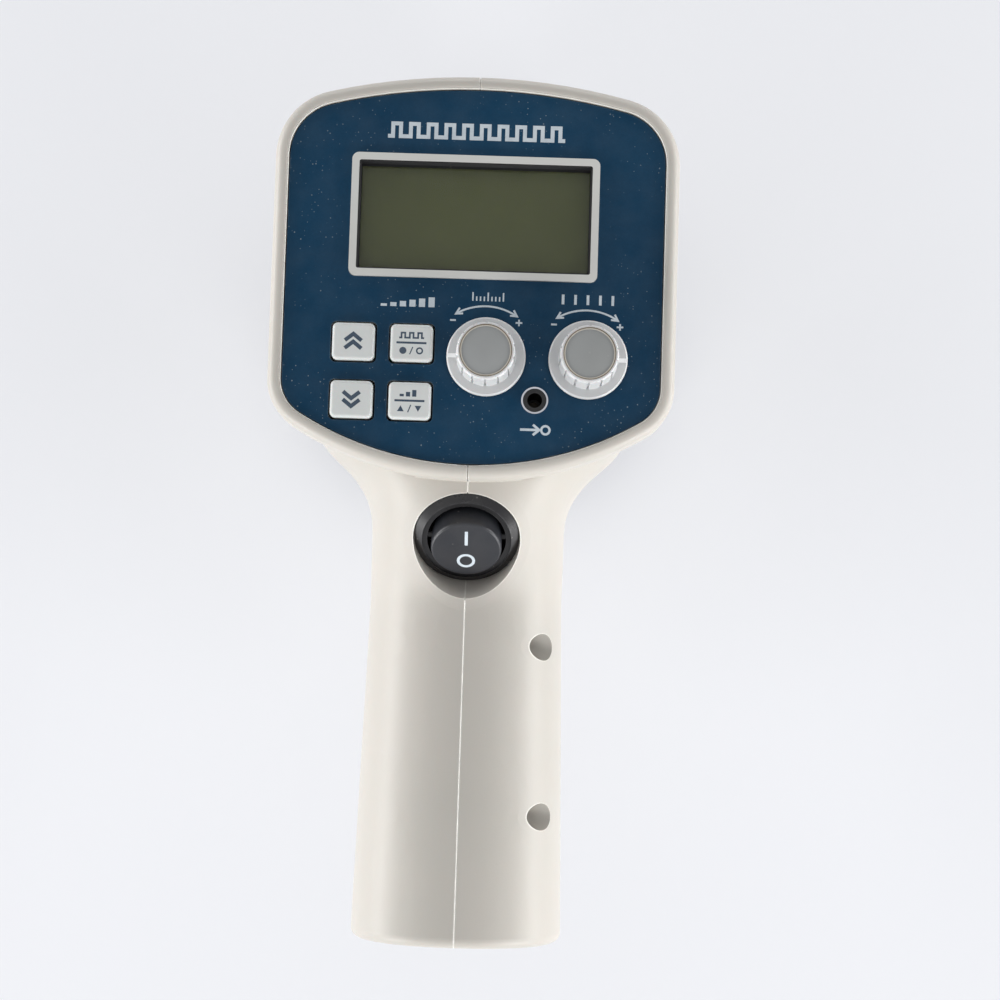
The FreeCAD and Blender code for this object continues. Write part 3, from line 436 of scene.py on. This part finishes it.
def filmOutline():  # the outer loop of the film's top face
    mesh = nodes["panel_overlay"].data
    top = max(v.co.z for v in mesh.vertices) - 0.02 * mm
    sides = {}
    for face in mesh.polygons:
        corners = [mesh.vertices[i] for i in face.vertices]
        if all(v.co.z > top for v in corners):
            for a, b in zip(corners, corners[1:] + corners[:1]):
                here, there = gridSpot(a), gridSpot(b)
                if (there, here) in sides:
                    del sides[(there, here)]
                else:
                    sides[(here, there)] = True
    following = dict(sides.keys())
    loops = []
    while following:
        first, here = following.popitem()
        loop = [first]
        while here != first:
            loop.append(here)
            here = following.pop(here)
        loops.append([Vector((x, y, 0)) * finest for x, y in loop])
    return max(loops, key=lambda loop: max(p.x for p in loop) - min(p.x for p in loop))


def panelRun():  # points on the housing, just outside the film
    loop = filmOutline()
    steps = []
    for a, b in zip(loop, loop[1:] + loop[:1]):
        count = max(1, round((b - a).length / (panelEdge["step"] * mm)))
        steps += [a.lerp(b, i / count) for i in range(count)]
    tree = treeOf("housing_left", "housing_right")
    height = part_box("panel_overlay")[1].z
    run = []
    for i, here in enumerate(steps):
        along = (steps[(i + 1) % len(steps)] - steps[i - 1]).normalized()
        across = Vector((along.y, -along.x, 0))
        if (here + across * mm).length < here.length:
            across = -across
        spot = here + across * panelEdge["outside"] * mm
        hit, _, _, _ = tree.ray_cast(Vector((spot.x, spot.y, farOff)), Vector((0, 0, -1)))
        if hit and abs(hit.z - height) < panelEdge["deepest"] * mm:
            run.append((hit, across))
    return run


ridge("seam_flash_front", seamRuns(1), Vector((0, 0, 1)), seamLine["rise"])
ridge("seam_flash_back", seamRuns(-1), Vector((0, 0, -1)), seamLine["rise"])
ridge("panel_edge_flash", [panelRun()], Vector((0, 0, 1)), panelEdge["rise"], closed=True)

# Control panel: the pale plate, whose raised frame stands round the display, and the dark blue film on it
plateLook = {
    "colour": ink(210, 210, 206), "second": ink(204, 204, 199), "rough": 0.38, "bump": 0.12,
    "specks": 0.2, "edge": ink(232, 232, 228), "edgeShare": 0.6,
}
# The film's paler edge colour is a painted highlight on the cut edges of its openings.
filmLook = {
    "colour": ink(9, 57, 85), "second": ink(7, 50, 76), "patches": 22.0, "flecks": 0.5,
    "edge": ink(84, 104, 120), "edgeShare": 0.7, "rough": 0.5, "spread": 0.14, "grainScale": 1500.0,
    "grain": 1.0, "ripple": 0.2, "bump": 0.25, "relief": 0.00006, "ior": 1.25, "specks": 0.7,
    "haze": 0.04, "speckScale": 1300.0, "speckShare": 0.36, "dustColour": ink(146, 158, 166),
}
dress(surface("palePlate", plateLook), "control_panel")
dress(surface("blueFilm", filmLook), "panel_overlay")

# Display: clear window over the dark glass, in a foam frame
windowLook = {
    "colour": (1, 1, 1, 1), "second": (0.97, 0.98, 0.97, 1), "rough": 0.02, "specks": 0.15,
    "ior": 1.24,
}
displayLook = {
    "colour": ink(75, 79, 42), "second": ink(70, 74, 39), "patches": 12.0, "flecks": 0.15,
    "edge": ink(60, 62, 40), "rough": 0.5, "grain": 0.4, "bump": 0.08, "specks": 0.1, "haze": 0.02,
    "ior": 1.3,
}
gasketLook = {
    "colour": ink(30, 30, 32), "second": ink(22, 22, 24), "rough": 0.8, "grainScale": 900.0,
    "bump": 0.4, "edgeShare": 0.2,
}
dress(clear("clearWindow", windowLook), "display_window")
dress(surface("displayGlass", displayLook), "lcd_glass")
dress(surface("foamGasket", gasketLook), "display_gasket")

# Keys and knobs
keyLook = {
    "colour": ink(216, 219, 217), "second": ink(211, 213, 211), "patches": 60.0,
    "edge": ink(238, 239, 237), "edgeShare": 0.7, "rough": 0.42, "grainScale": 3000.0, "bump": 0.15,
    "specks": 0.15, "milky": 0.05,
}
knobLook = {
    "colour": ink(205, 206, 206), "second": ink(196, 197, 198), "patches": 50.0,
    "edge": ink(228, 229, 229), "edgeShare": 0.6, "rough": 0.34, "grainScale": 2600.0, "bump": 0.12,
    "specks": 0.15, "milky": 0.05,
}
# The cap's pale edge colour is a painted highlight on its chamfer.
capLook = {
    "colour": ink(152, 154, 154), "second": ink(146, 148, 147), "patches": 70.0,
    "edge": ink(244, 240, 230), "edgeShare": 1.0, "patchy": 0.2, "rough": 0.45, "bump": 0.12,
    "specks": 0.2,
}
dress(surface("paleKey", keyLook), "key_double", "key_halve", "key_trigger", "key_range")
dress(surface("paleKnob", knobLook), "knob_fine", "knob_coarse")
dress(surface("greyCap", capLook), "knob_cap_fine", "knob_cap_coarse")

# Power switch
switchLook = {
    "colour": ink(24, 23, 25), "second": ink(19, 18, 20), "patches": 90.0, "edge": ink(84, 84, 87),
    "edgeShare": 0.5, "rough": 0.27, "spread": 0.1, "grainScale": 3000.0, "bump": 0.08, "specks": 0.25,
    "haze": 0.03,
}
# The rocker's pale edge colour is a painted highlight: the thin lit line round its top face.
rockerLook = {
    "colour": ink(41, 43, 48), "second": ink(36, 37, 42), "patches": 80.0,
    "edge": ink(170, 170, 174), "edgeShare": 0.9, "rough": 0.3, "grainScale": 2600.0, "bump": 0.16,
    "specks": 0.3, "haze": 0.04,
}
dress(surface("blackMoulding", switchLook), "switch_housing")
dress(surface("rockerMoulding", rockerLook), "switch_rocker")

# Front: bezel, lens, seal, mirror and flash tube
bezelLook = {
    "colour": ink(38, 38, 40), "second": ink(31, 31, 33), "patches": 40.0, "edge": ink(78, 78, 80),
    "edgeShare": 0.6, "rough": 0.4, "grainScale": 2000.0, "bump": 0.2, "specks": 0.3, "haze": 0.05,
}
lensLook = {
    "colour": (0.98, 0.99, 1, 1), "second": (0.95, 0.97, 0.98, 1), "rough": 0.03, "bump": 0.1,
}
sealLook = {"colour": ink(40, 40, 42), "second": ink(30, 30, 32), "rough": 0.75, "bump": 0.2}
mirrorLook = {
    "colour": ink(222, 224, 226), "second": ink(208, 210, 213), "metallic": 1.0, "rough": 0.16,
    "spread": 0.1, "grainScale": 700.0, "bump": 0.12, "edgeShare": 0.2, "specks": 0.1,
}
tubeLook = {
    "colour": (0.98, 0.99, 1, 1), "second": (0.94, 0.96, 0.98, 1), "rough": 0.02, "ior": 1.46,
}
dress(surface("blackBezel", bezelLook), "front_bezel")
dress(clear("frontGlass", lensLook), "front_lens")
dress(surface("softSeal", sealLook), "lens_seal")
dress(surface("brightMirror", mirrorLook), "reflector")
dress(clear("tubeGlass", tubeLook), "flash_tube")

# Socket and mains inlet
jackLook = {
    "colour": ink(13, 13, 14), "second": ink(9, 9, 10), "edge": ink(44, 44, 46), "rough": 0.45,
}
ringLook = {
    "colour": ink(200, 200, 204), "second": ink(188, 189, 193), "edge": ink(232, 232, 234),
    "metallic": 1.0, "rough": 0.22, "drawn": 500.0, "bump": 0.1,
}
contactLook = {
    "colour": ink(84, 78, 68), "second": ink(66, 60, 52), "metallic": 1.0, "rough": 0.5, "bump": 0.2,
}
pinLook = {
    "colour": ink(205, 200, 186), "second": ink(190, 184, 168), "metallic": 1.0, "rough": 0.26,
    "drawn": 900.0, "bump": 0.1,
}
dress(surface("socketMoulding", jackLook), "ext_jack_body", "mains_inlet")
dress(surface("turnedRing", ringLook), "ext_jack_ring")
dress(surface("tarnishedContact", contactLook), "ext_jack_contact")
dress(surface("brightPin", pinLook), "inlet_pins", "tube_electrodes", "trigger_band", "fuse_clips",
      "switch_terminals", "switch_contact")

# Screws and what the housing hides
zincLook = {
    "colour": ink(176, 178, 182), "second": ink(156, 158, 163), "metallic": 1.0, "rough": 0.36,
    "spread": 0.2, "bump": 0.15,
}
brassLook = {
    "colour": ink(196, 168, 104), "second": ink(178, 150, 90), "metallic": 1.0, "rough": 0.3,
    "drawn": 700.0, "bump": 0.1,
}
ceramicLook = {"colour": ink(226, 222, 212), "second": ink(214, 209, 198), "rough": 0.55, "bump": 0.2}
blackLook = {
    "colour": ink(36, 36, 38), "second": ink(29, 29, 31), "edge": ink(70, 70, 72), "rough": 0.5,
}
boardLook = {
    "colour": ink(38, 92, 58), "second": ink(30, 76, 48), "patches": 300.0, "flecks": 0.6,
    "rough": 0.32, "coat": 0.3, "bump": 0.2,
}
coreLook = {
    "colour": ink(84, 84, 88), "second": ink(64, 64, 68), "metallic": 1.0, "rough": 0.5,
    "drawn": 400.0, "bump": 0.3,
}
copperLook = {
    "colour": ink(176, 92, 52), "second": ink(150, 74, 40), "metallic": 1.0, "rough": 0.34,
    "drawn": 1400.0, "bump": 0.5,
}
sleeveLook = {"colour": ink(36, 62, 120), "second": ink(30, 52, 102), "rough": 0.34, "bump": 0.1}
zebraLook = {
    "colour": ink(206, 150, 160), "second": ink(60, 58, 60), "patches": 1800.0, "rough": 0.7,
}
matLook = {
    "colour": ink(176, 178, 176), "second": ink(168, 170, 168), "rough": 0.7, "bump": 0.15,
    "milky": 0.05,
}
carbonLook = {"colour": ink(26, 26, 28), "second": ink(20, 20, 22), "rough": 0.8, "bump": 0.4}
whiteLook = {"colour": ink(226, 226, 220), "second": ink(216, 215, 208), "rough": 0.45}
hidden = {
    "zincScrew": (zincLook, ["housing_screws", "board_screws", "power_board_screws", "pot_nuts",
                             "pot_fine", "pot_coarse", "transformer_frame"]),
    "turnedBrass": (brassLook, ["pot_shaft_fine", "pot_shaft_coarse"]),
    "firedCeramic": (ceramicLook, ["lamp_base"]),
    "blackPart": (blackLook, ["lamp_plate", "trigger_coil"]),
    "circuitBoard": (boardLook, ["power_board", "control_board"]),
    "coreSheets": (coreLook, ["transformer_core"]),
    "copperTurns": (copperLook, ["transformer_winding"]),
    "shrinkSleeve": (sleeveLook, ["flash_capacitors"]),
    "contactStrip": (zebraLook, ["zebra_strips"]),
    "softMat": (matLook, ["keypad_mat"]),
    "carbonPill": (carbonLook, ["pill_double", "pill_halve", "pill_trigger", "pill_range"]),
    "whiteMoulding": (whiteLook, ["lcd_holder", "switch_plunger"]),
}
for name, (look, places) in hidden.items():
    dress(surface(name, look), *places)
fuseLook = {"colour": (0.96, 0.97, 0.95, 1), "second": (0.9, 0.9, 0.88, 1), "rough": 0.05}
dress(clear("fuseGlass", fuseLook), "fuse")
print("CAD pieces dressed:", len(nodes))


# Printed marks. Each is a thin layer of ink that stands on its piece.

def stroke(points, width, closed=False):  # four-cornered patches along a line, mitred at its corners
    points = [Vector(p) for p in points]
    count = len(points)
    last = count if closed else count - 1
    runs = [(points[(i + 1) % count] - points[i]).normalized() for i in range(last)]
    sides = []
    for i, here in enumerate(points):
        arriving = runs[i - 1] if i or closed else runs[0]
        leaving = runs[i] if i < last else runs[-1]
        along = (arriving + leaving).normalized()
        across = Vector((-along.y, along.x)) * (width / 2 / arriving.dot(along))
        sides.append((here + across, here - across))
    pairs = [(sides[i], sides[(i + 1) % count]) for i in range(last)]
    return [[a[1], b[1], b[0], a[0]] for a, b in pairs]


def bend(x, y, radius, start, end, steps=24):
    turns = [math.radians(start + (end - start) * i / steps) for i in range(steps + 1)]
    return [(x + radius * math.cos(t), y + radius * math.sin(t)) for t in turns]


def disc(x, y, radius, steps=20):
    return [bend(x, y, radius, 0, 360, steps)[:-1]]


def hoop(x, y, radius, width, steps=20):
    return stroke(bend(x, y, radius, 0, 360, steps)[:-1], width, closed=True)


def bar(x0, y0, x1, y1):
    return [[(x0, y0), (x1, y0), (x1, y1), (x0, y1)]]


def joined(patches):  # overlapping patches as one flat figure
    points, rings = [], []
    for patch in patches:
        turn = sum(a[0] * b[1] - b[0] * a[1] for a, b in zip(patch, patch[1:] + patch[:1]))
        rings.append(list(range(len(points), len(points) + len(patch))))
        points += [Vector(p[:2]) for p in (patch if turn > 0 else patch[::-1])]
    corners, _, faces, _, _, owners = delaunay_2d_cdt(points, [], rings, 1, 1e-4)
    return corners, [face for face, owner in zip(faces, owners) if owner]


inkThick = 0.012


def layInk(name, patches, material, body, place, thick=inkThick):
    mesh = bpy.data.meshes.new(name)
    bm = bmesh.new()
    points, faces = joined(patches)
    corners = [bm.verts.new((p.x * mm, p.y * mm, 0)) for p in points]
    for face in faces:
        bm.faces.new([corners[i] for i in face])
    loose = [v for v in bm.verts if not v.link_faces]
    bmesh.ops.delete(bm, geom=loose, context="VERTS")
    raised = bmesh.ops.extrude_face_region(bm, geom=list(bm.faces))
    top = [v for v in raised["geom"] if isinstance(v, bmesh.types.BMVert)]
    bmesh.ops.translate(bm, vec=(0, 0, thick * mm), verts=top)
    bmesh.ops.recalc_face_normals(bm, faces=bm.faces)
    bm.transform(place)
    bm.to_mesh(mesh)
    bm.free()
    placePiece(name, mesh, material, body)


def middleOf(name):  # the middle of a piece, at the height of its foot and at that of its top
    low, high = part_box(name)
    x, y = (low.x + high.x) / 2, (low.y + high.y) / 2
    return Vector((x, y, low.z)), Vector((x, y, high.z))


whiteInkLook = {
    "colour": ink(205, 214, 220), "second": ink(190, 200, 208), "patches": 300.0, "flecks": 0.4,
    "rough": 0.5, "bump": 0.15, "specks": 0.1,
}
darkInkLook = {
    "colour": ink(44, 62, 80), "second": ink(58, 74, 90), "patches": 300.0, "flecks": 0.4,
    "rough": 0.5, "bump": 0.15, "specks": 0.1,
}
whiteInk = surface("whiteInk", whiteInkLook)
darkInk = surface("darkInk", darkInkLook)

# Film prints: a row of pulses along the top, a bar scale, the knobs' arcs with their ends and ticks,
# and the socket's sign
topRow = {"left": -22.0, "right": 21.0, "y": 35.9, "tall": 3.1, "count": 10, "line": 0.95}
pulseShare = (0.28, 0.72)  # where a pulse rises and falls in its step
barScale = {"x": -22.3, "step": 2.3, "wide": 1.5, "foot": -7.3, "tall": 0.6, "growth": 0.36, "count": 6}
knobArc = {"line": 0.45, "head": 1.7, "open": 28}
knobArcs = [
    {"left": (-4.08, -8.66), "top": (3.09, -6.65), "right": (10.64, -8.9),
     "minus": (-4.75, -10.24), "plus": (11.17, -10.46)},
    {"left": (20.29, -8.96), "top": (27.47, -6.91), "right": (35.01, -9.23),
     "minus": (19.61, -10.56), "plus": (35.53, -10.77)},
]
endSign = {"minusWide": 1.4, "minusLine": 0.44, "plusWide": 1.6, "plusLine": 0.42}
fineTicks = {"x": -0.3, "step": 0.92, "wide": 0.35, "foot": -5.4, "short": 1.1, "long": 2.1, "count": 9}
coarseTicks = {"x": 21.3, "step": 3.0, "wide": 0.65, "foot": -5.6, "long": 2.4, "count": 5}
longEvery = 4  # the fine ticks' long ones
socketSign = {
    "from": 12.2, "to": 16.4, "y": -36.25, "line": 0.6, "tip": 16.8, "back": 1.5, "half": 1.25,
    "ringAt": 18.3, "ring": 1.0, "ringLine": 0.55,
}


def pulseRow(left, right, y, tall, count, line):
    step = (right - left) / count
    foot, top = y - tall / 2, y + tall / 2
    path = [(left, foot)]
    for i in range(count):
        rising, falling = (left + step * (i + share) for share in pulseShare)
        path += [(rising, foot), (rising, top), (falling, top), (falling, foot)]
    path.append((right, foot))
    return stroke(path, line)


def arcMark(left, top, right):  # an arc through three points with an open arrow at each end
    (ax, ay), (bx, by), (cx, cy) = left, top, right
    a, b, c = ax * ax + ay * ay, bx * bx + by * by, cx * cx + cy * cy
    d = 2 * (ax * (by - cy) + bx * (cy - ay) + cx * (ay - by))
    x = (a * (by - cy) + b * (cy - ay) + c * (ay - by)) / d
    y = (a * (cx - bx) + b * (ax - cx) + c * (bx - ax)) / d
    radius = math.hypot(ax - x, ay - y)
    start = math.degrees(math.atan2(ay - y, ax - x))
    end = math.degrees(math.atan2(cy - y, cx - x))
    patches = stroke(bend(x, y, radius, start, end), knobArc["line"])
    for (px, py), angle in ((left, start + 90), (right, end - 90)):
        turns = [math.radians(angle + 180 + spread) for spread in (-knobArc["open"], knobArc["open"])]
        ends = [(px + knobArc["head"] * math.cos(t), py + knobArc["head"] * math.sin(t)) for t in turns]
        patches += stroke([ends[0], (px, py), ends[1]], knobArc["line"])
    return patches


def dash(x, y, wide, tall):
    return bar(x - wide / 2, y - tall / 2, x + wide / 2, y + tall / 2)


def tick(row, i, tall):
    x = row["x"] + i * row["step"]
    return bar(x, row["foot"], x + row["wide"], row["foot"] + tall)


def socketMark():  # an arrow into a ring
    s = socketSign
    shaft = bar(s["from"], s["y"] - s["line"] / 2, s["to"], s["y"] + s["line"] / 2)
    back = s["tip"] - s["back"]
    head = [(back, s["y"] - s["half"]), (s["tip"], s["y"]), (back, s["y"] + s["half"])]
    return shaft + stroke(head, s["line"]) + hoop(s["ringAt"], s["y"], s["ring"], s["ringLine"])


filmMarks = pulseRow(**topRow)
for i in range(barScale["count"]):
    filmMarks += tick(barScale, i, barScale["tall"] + i * barScale["growth"])
for arc in knobArcs:
    filmMarks += arcMark(arc["left"], arc["top"], arc["right"])
for arc in knobArcs:
    filmMarks += dash(*arc["minus"], endSign["minusWide"], endSign["minusLine"])
    filmMarks += dash(*arc["plus"], endSign["plusWide"], endSign["plusLine"])
    filmMarks += dash(*arc["plus"], endSign["plusLine"], endSign["plusWide"])
for i in range(fineTicks["count"]):
    filmMarks += tick(fineTicks, i, fineTicks["short"] if i % longEvery else fineTicks["long"])
for i in range(coarseTicks["count"]):
    filmMarks += tick(coarseTicks, i, coarseTicks["long"])
filmMarks += socketMark()
filmTop = Matrix.Translation((0, 0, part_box("panel_overlay")[1].z))
layInk("film_print", filmMarks, whiteInk, "housing", filmTop)

# Display frame print: black print on the window, inside the gasket. Its band along the top is widened as
# painted shade, the shade that the frame's deep inner wall casts onto the glass.
borderPrintAndShade = {"gasket": 0.35, "top": 0.6, "side": 0.2, "bottom": 0.12}
borderPrintAndShadeLook = {
    "colour": ink(14, 14, 15), "second": ink(9, 9, 10), "rough": 0.6, "bump": 0.05, "edgeShare": 0.0,
    "specks": 0.05, "haze": 0.0,
}
low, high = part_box("display_gasket")
x0, y0, x1, y1 = (edge / mm + side * borderPrintAndShade["gasket"]
                  for edge, side in ((low.x, 1), (low.y, 1), (high.x, -1), (high.y, -1)))
inX0, inX1 = x0 + borderPrintAndShade["side"], x1 - borderPrintAndShade["side"]
inY0, inY1 = y0 + borderPrintAndShade["bottom"], y1 - borderPrintAndShade["top"]
borderAndShadeBands = bar(x0, inY1, x1, y1) + bar(x0, y0, x1, inY0) + bar(x0, inY0, inX0, inY1) + bar(inX1, inY0, x1, inY1)
layInk("display_border_and_shade", borderAndShadeBands, surface("borderInkAndShade", borderPrintAndShadeLook), "housing",
       Matrix.Translation((0, 0, low.z)))

# Key prints: double chevrons up and down, and two pairs of small signs each side of a rule
chevronPrint = {"wide": 4.0, "tall": 1.6, "apart": 0.95, "line": 0.95}
keyRule = {"wide": 7.2, "line": 0.5}
keyPulses = {"left": -3.0, "right": 3.0, "y": 1.8, "tall": 1.2, "count": 3, "line": 0.42}
keyBars = {"x": -2.4, "step": 1.5, "wide": 1.0, "foot": 1.0, "heights": (0.6, 1.1, 1.6)}
keyIcon = {
    "y": -1.9, "slashWide": 0.7, "slashTall": 1.8, "slashLine": 0.25,
    "aside": 2.0, "disc": 0.85, "ring": 0.68, "ringLine": 0.36,
    "arrowAside": 2.1, "arrowWide": 1.6, "arrowTall": 1.4,
}


def chevrons(way):  # one over the other, pointing up for 1 and down for -1
    c = chevronPrint
    wide, rise = c["wide"] / 2, way * c["tall"] / 2
    return [patch for y in (c["apart"], -c["apart"])
            for patch in stroke([(-wide, y - rise), (0, y + rise), (wide, y - rise)], c["line"])]


def slash():
    wide, tall = keyIcon["slashWide"] / 2, keyIcon["slashTall"] / 2
    return stroke([(-wide, keyIcon["y"] - tall), (wide, keyIcon["y"] + tall)], keyIcon["slashLine"])


def triggerSigns():  # pulses over a disc and a ring
    at, y = keyIcon["aside"], keyIcon["y"]
    return (pulseRow(**keyPulses) + disc(-at, y, keyIcon["disc"]) + slash()
            + hoop(at, y, keyIcon["ring"], keyIcon["ringLine"]))


def rangeSigns():  # rising bars over an arrow up and an arrow down
    bars = [patch for i, tall in enumerate(keyBars["heights"]) for patch in tick(keyBars, i, tall)]
    at, wide, y = keyIcon["arrowAside"], keyIcon["arrowWide"] / 2, keyIcon["y"]
    foot, top = y - keyIcon["arrowTall"] / 2, y + keyIcon["arrowTall"] / 2
    upward = [[(-at - wide, foot), (-at + wide, foot), (-at, top)]]
    downward = [[(at - wide, top), (at, foot), (at + wide, top)]]
    return bars + upward + slash() + downward


rule = dash(0, 0, keyRule["wide"], keyRule["line"])
keySigns = {
    "double": chevrons(1), "halve": chevrons(-1),
    "trigger": rule + triggerSigns(), "range": rule + rangeSigns(),
}
for kind, signs in keySigns.items():
    place = Matrix.Translation(middleOf("key_" + kind)[1])
    layInk("key_sign_" + kind, signs, darkInk, "key_" + kind, place)

# Knobs: a white pointer on the skirt; round the cap a pale ring, a painted highlight on its rounded edge, and
# just outside it a brown ring, painted shade of the gap with the dirt that collects there
pointerLook = {"colour": ink(255, 255, 255), "second": ink(250, 250, 250), "rough": 0.4, "specks": 0.1}
capHighlightLook = {
    "colour": ink(226, 220, 208), "second": ink(216, 210, 198), "rough": 0.4, "bump": 0.1,
    "specks": 0.1,
}
gapDirtAndShadeLook = {
    "colour": ink(112, 98, 78), "second": ink(136, 124, 104), "patches": 400.0, "flecks": 0.6,
    "rough": 0.8, "bump": 0.3,
}
pointer = {"from": 7.25, "to": 9.3, "wide": 1.0, "rise": 1.5}
capHighlightRing = {"inside": 5.74, "outside": 5.98, "below": 0.49, "thick": 0.08}
gapDirtAndShadeRing = {"inside": 6.02, "outside": 6.22, "below": 0.25, "thick": 0.02}
ringSteps = 72
pointerPaint = surface("pointerPaint", pointerLook)
capHighlightPaint = surface("paintedCapHighlight", capHighlightLook)
gapDirtAndShadePaint = surface("paintedGapDirtAndShade", gapDirtAndShadeLook)


def layRing(name, ring, material, body, crown):
    patches = hoop(0, 0, (ring["inside"] + ring["outside"]) / 2, ring["outside"] - ring["inside"], ringSteps)
    place = Matrix.Translation(crown - Vector((0, 0, ring["below"] * mm)))
    layInk(name, patches, material, body, place, ring["thick"])


length = pointer["to"] - pointer["from"]
for kind, side in (("fine", -1), ("coarse", 1)):
    knob = "knob_" + kind
    line = dash(side * (pointer["from"] + pointer["to"]) / 2, 0, length, pointer["wide"])
    foot = Matrix.Translation(middleOf(knob)[0] + Vector((0, 0, pointer["rise"] * mm)))
    layInk("pointer_" + kind, line, pointerPaint, knob, foot)
for kind in ("fine", "coarse"):
    knob, crown = "knob_" + kind, middleOf("knob_cap_" + kind)[1]
    layRing("cap_highlight_" + kind, capHighlightRing, capHighlightPaint, knob, crown)
    layRing("cap_gap_dirt_and_shade_" + kind, gapDirtAndShadeRing, gapDirtAndShadePaint, knob, crown)

# Switch signs, on the rocker's tilted face
rockerPlace = {"y": -62.55, "z": 91.9, "slant": 37.9, "tilt": 9.0, "pivot": 2.6, "face": 2.85}
switchStroke = {"wide": 0.76, "from": 1.5, "to": 6.1}
switchRing = {"x": 0, "y": -3.7, "radius": 1.9, "width": 0.72, "steps": 28}


def tipped(degrees):
    return Matrix.Rotation(math.radians(degrees), 4, "X")


def lifted(height):
    return Matrix.Translation((0, 0, height * mm))


place = (Matrix.Translation((0, rockerPlace["y"] * mm, rockerPlace["z"] * mm))
         @ tipped(rockerPlace["slant"]) @ lifted(-rockerPlace["pivot"])
         @ tipped(rockerPlace["tilt"]) @ lifted(rockerPlace["pivot"] + rockerPlace["face"]))
half = switchStroke["wide"] / 2
switchSigns = bar(-half, switchStroke["from"], half, switchStroke["to"]) + hoop(**switchRing)
layInk("rocker_signs", switchSigns, whiteInk, "rocker", place)
print("prints laid")

# Floor, light and camera
floorLook = {
    "colour": (0.86, 0.87, 0.9, 1), "second": (0.84, 0.85, 0.885, 1), "patches": 2.0, "flecks": 0.02,
    "rough": 0.9, "specular": 0.1, "glow": (0.88, 0.89, 0.925, 1), "glowShare": 0.45, "half": 6.0,
}
roomLook = {"light": (0.97, 0.98, 1.0, 1), "strength": 0.43, "seen": (0.86, 0.875, 0.91, 1)}


def seenDirectly(tree):  # one where the camera, a reflection or a clear piece shows the background
    rays = add(tree, "LightPath")
    shown = sums(tree, "MAXIMUM", rays.outputs["Is Glossy Ray"], rays.outputs["Is Transmission Ray"])
    return sums(tree, "MAXIMUM", rays.outputs["Is Camera Ray"], shown)


def mixShaders(tree, share, first, second, output):
    mix = add(tree, "MixShader")
    tree.links.new(share, mix.inputs[0])
    tree.links.new(first.outputs[0], mix.inputs[1])
    tree.links.new(second.outputs[0], mix.inputs[2])
    tree.links.new(mix.outputs[0], tree.nodes[output].inputs["Surface"])


def paleFloor():
    made, tree, shader = newMaterial("paperFloor")
    tone = useGroup(tree, toneDrift, {
        "Colour": floorLook["colour"], "Second Colour": floorLook["second"],
        "Patches": floorLook["patches"], "Flecks": floorLook["flecks"]})
    tree.links.new(tone.outputs["Colour"], shader.inputs["Base Color"])
    shader.inputs["Roughness"].default_value = floorLook["rough"]
    shader.inputs["Specular IOR Level"].default_value = floorLook["specular"]
    glow = add(tree, "Emission")
    glow.inputs["Color"].default_value = floorLook["glow"]
    share = sums(tree, "MULTIPLY", seenDirectly(tree), floorLook["glowShare"])
    mixShaders(tree, share, shader, glow, "Material Output")
    return made


floorMesh = bpy.data.meshes.new("floor")
bm = bmesh.new()
bmesh.ops.create_grid(bm, x_segments=8, y_segments=8, size=floorLook["half"])
bm.to_mesh(floorMesh)
bm.free()
floorMesh.materials.append(paleFloor())
floor = bpy.data.objects.new("floor", floorMesh)
scene.collection.objects.link(floor)

world = bpy.data.worlds.new("paleRoom")
scene.world = world
world.use_nodes = True
room = world.node_tree.nodes["Background"]
room.inputs["Color"].default_value = roomLook["light"]
room.inputs["Strength"].default_value = roomLook["strength"]
seenRoom = add(world.node_tree, "Background")
seenRoom.inputs["Color"].default_value = roomLook["seen"]
mixShaders(world.node_tree, seenDirectly(world.node_tree), room, seenRoom, "World Output")

# Places and sizes in metres, powers in watts
lampSet = {
    "leftStrip": {"at": (-1.2, -0.03, 0.24), "to": (0, -0.05, 0.06), "size": (1.5, 0.44), "power": 13.0},
    "rightStrip": {"at": (1.2, -0.03, 0.24), "to": (0, -0.05, 0.06), "size": (1.5, 0.44), "power": 12.4},
    "leftNear": {"at": (-0.8, -1.0, 0.36), "to": (0, -0.06, 0.08), "size": (0.5, 0.6), "power": 7.4},
    "rightNear": {"at": (0.8, -1.0, 0.36), "to": (0, -0.06, 0.08), "size": (0.5, 0.6), "power": 8.6},
    "farStrip": {"at": (0, 1.3, 0.36), "to": (0, 0.02, 0.08), "size": (1.0, 0.4), "power": 5.0},
}
for name, values in lampSet.items():
    lamp = bpy.data.lights.new(name, "AREA")
    lamp.shape = "RECTANGLE"
    lamp.size, lamp.size_y = values["size"]
    lamp.energy = values["power"]
    made = bpy.data.objects.new(name, lamp)
    made.location = values["at"]
    aim = Vector(values["to"]) - Vector(values["at"])
    made.rotation_euler = aim.to_track_quat("-Z", "Y").to_euler()
    made.visible_camera = False
    scene.collection.objects.link(made)

cameraPlace = {"at": (9.18, -92.86, 631.5), "down": 4.3, "roll": 1.8, "lens": 79.2, "sensor": 36.0}
lens = bpy.data.cameras.new("photoCamera")
lens.lens = cameraPlace["lens"]
lens.sensor_width = cameraPlace["sensor"]
lens.clip_start = 0.01
camera = bpy.data.objects.new("photoCamera", lens)
camera.matrix_world = (Matrix.Translation(Vector(cameraPlace["at"]) * mm)
                       @ Matrix.Rotation(math.radians(cameraPlace["roll"]), 4, "Z")
                       @ tipped(cameraPlace["down"]))
scene.collection.objects.link(camera)
scene.camera = camera
print("room, lamps and camera set")
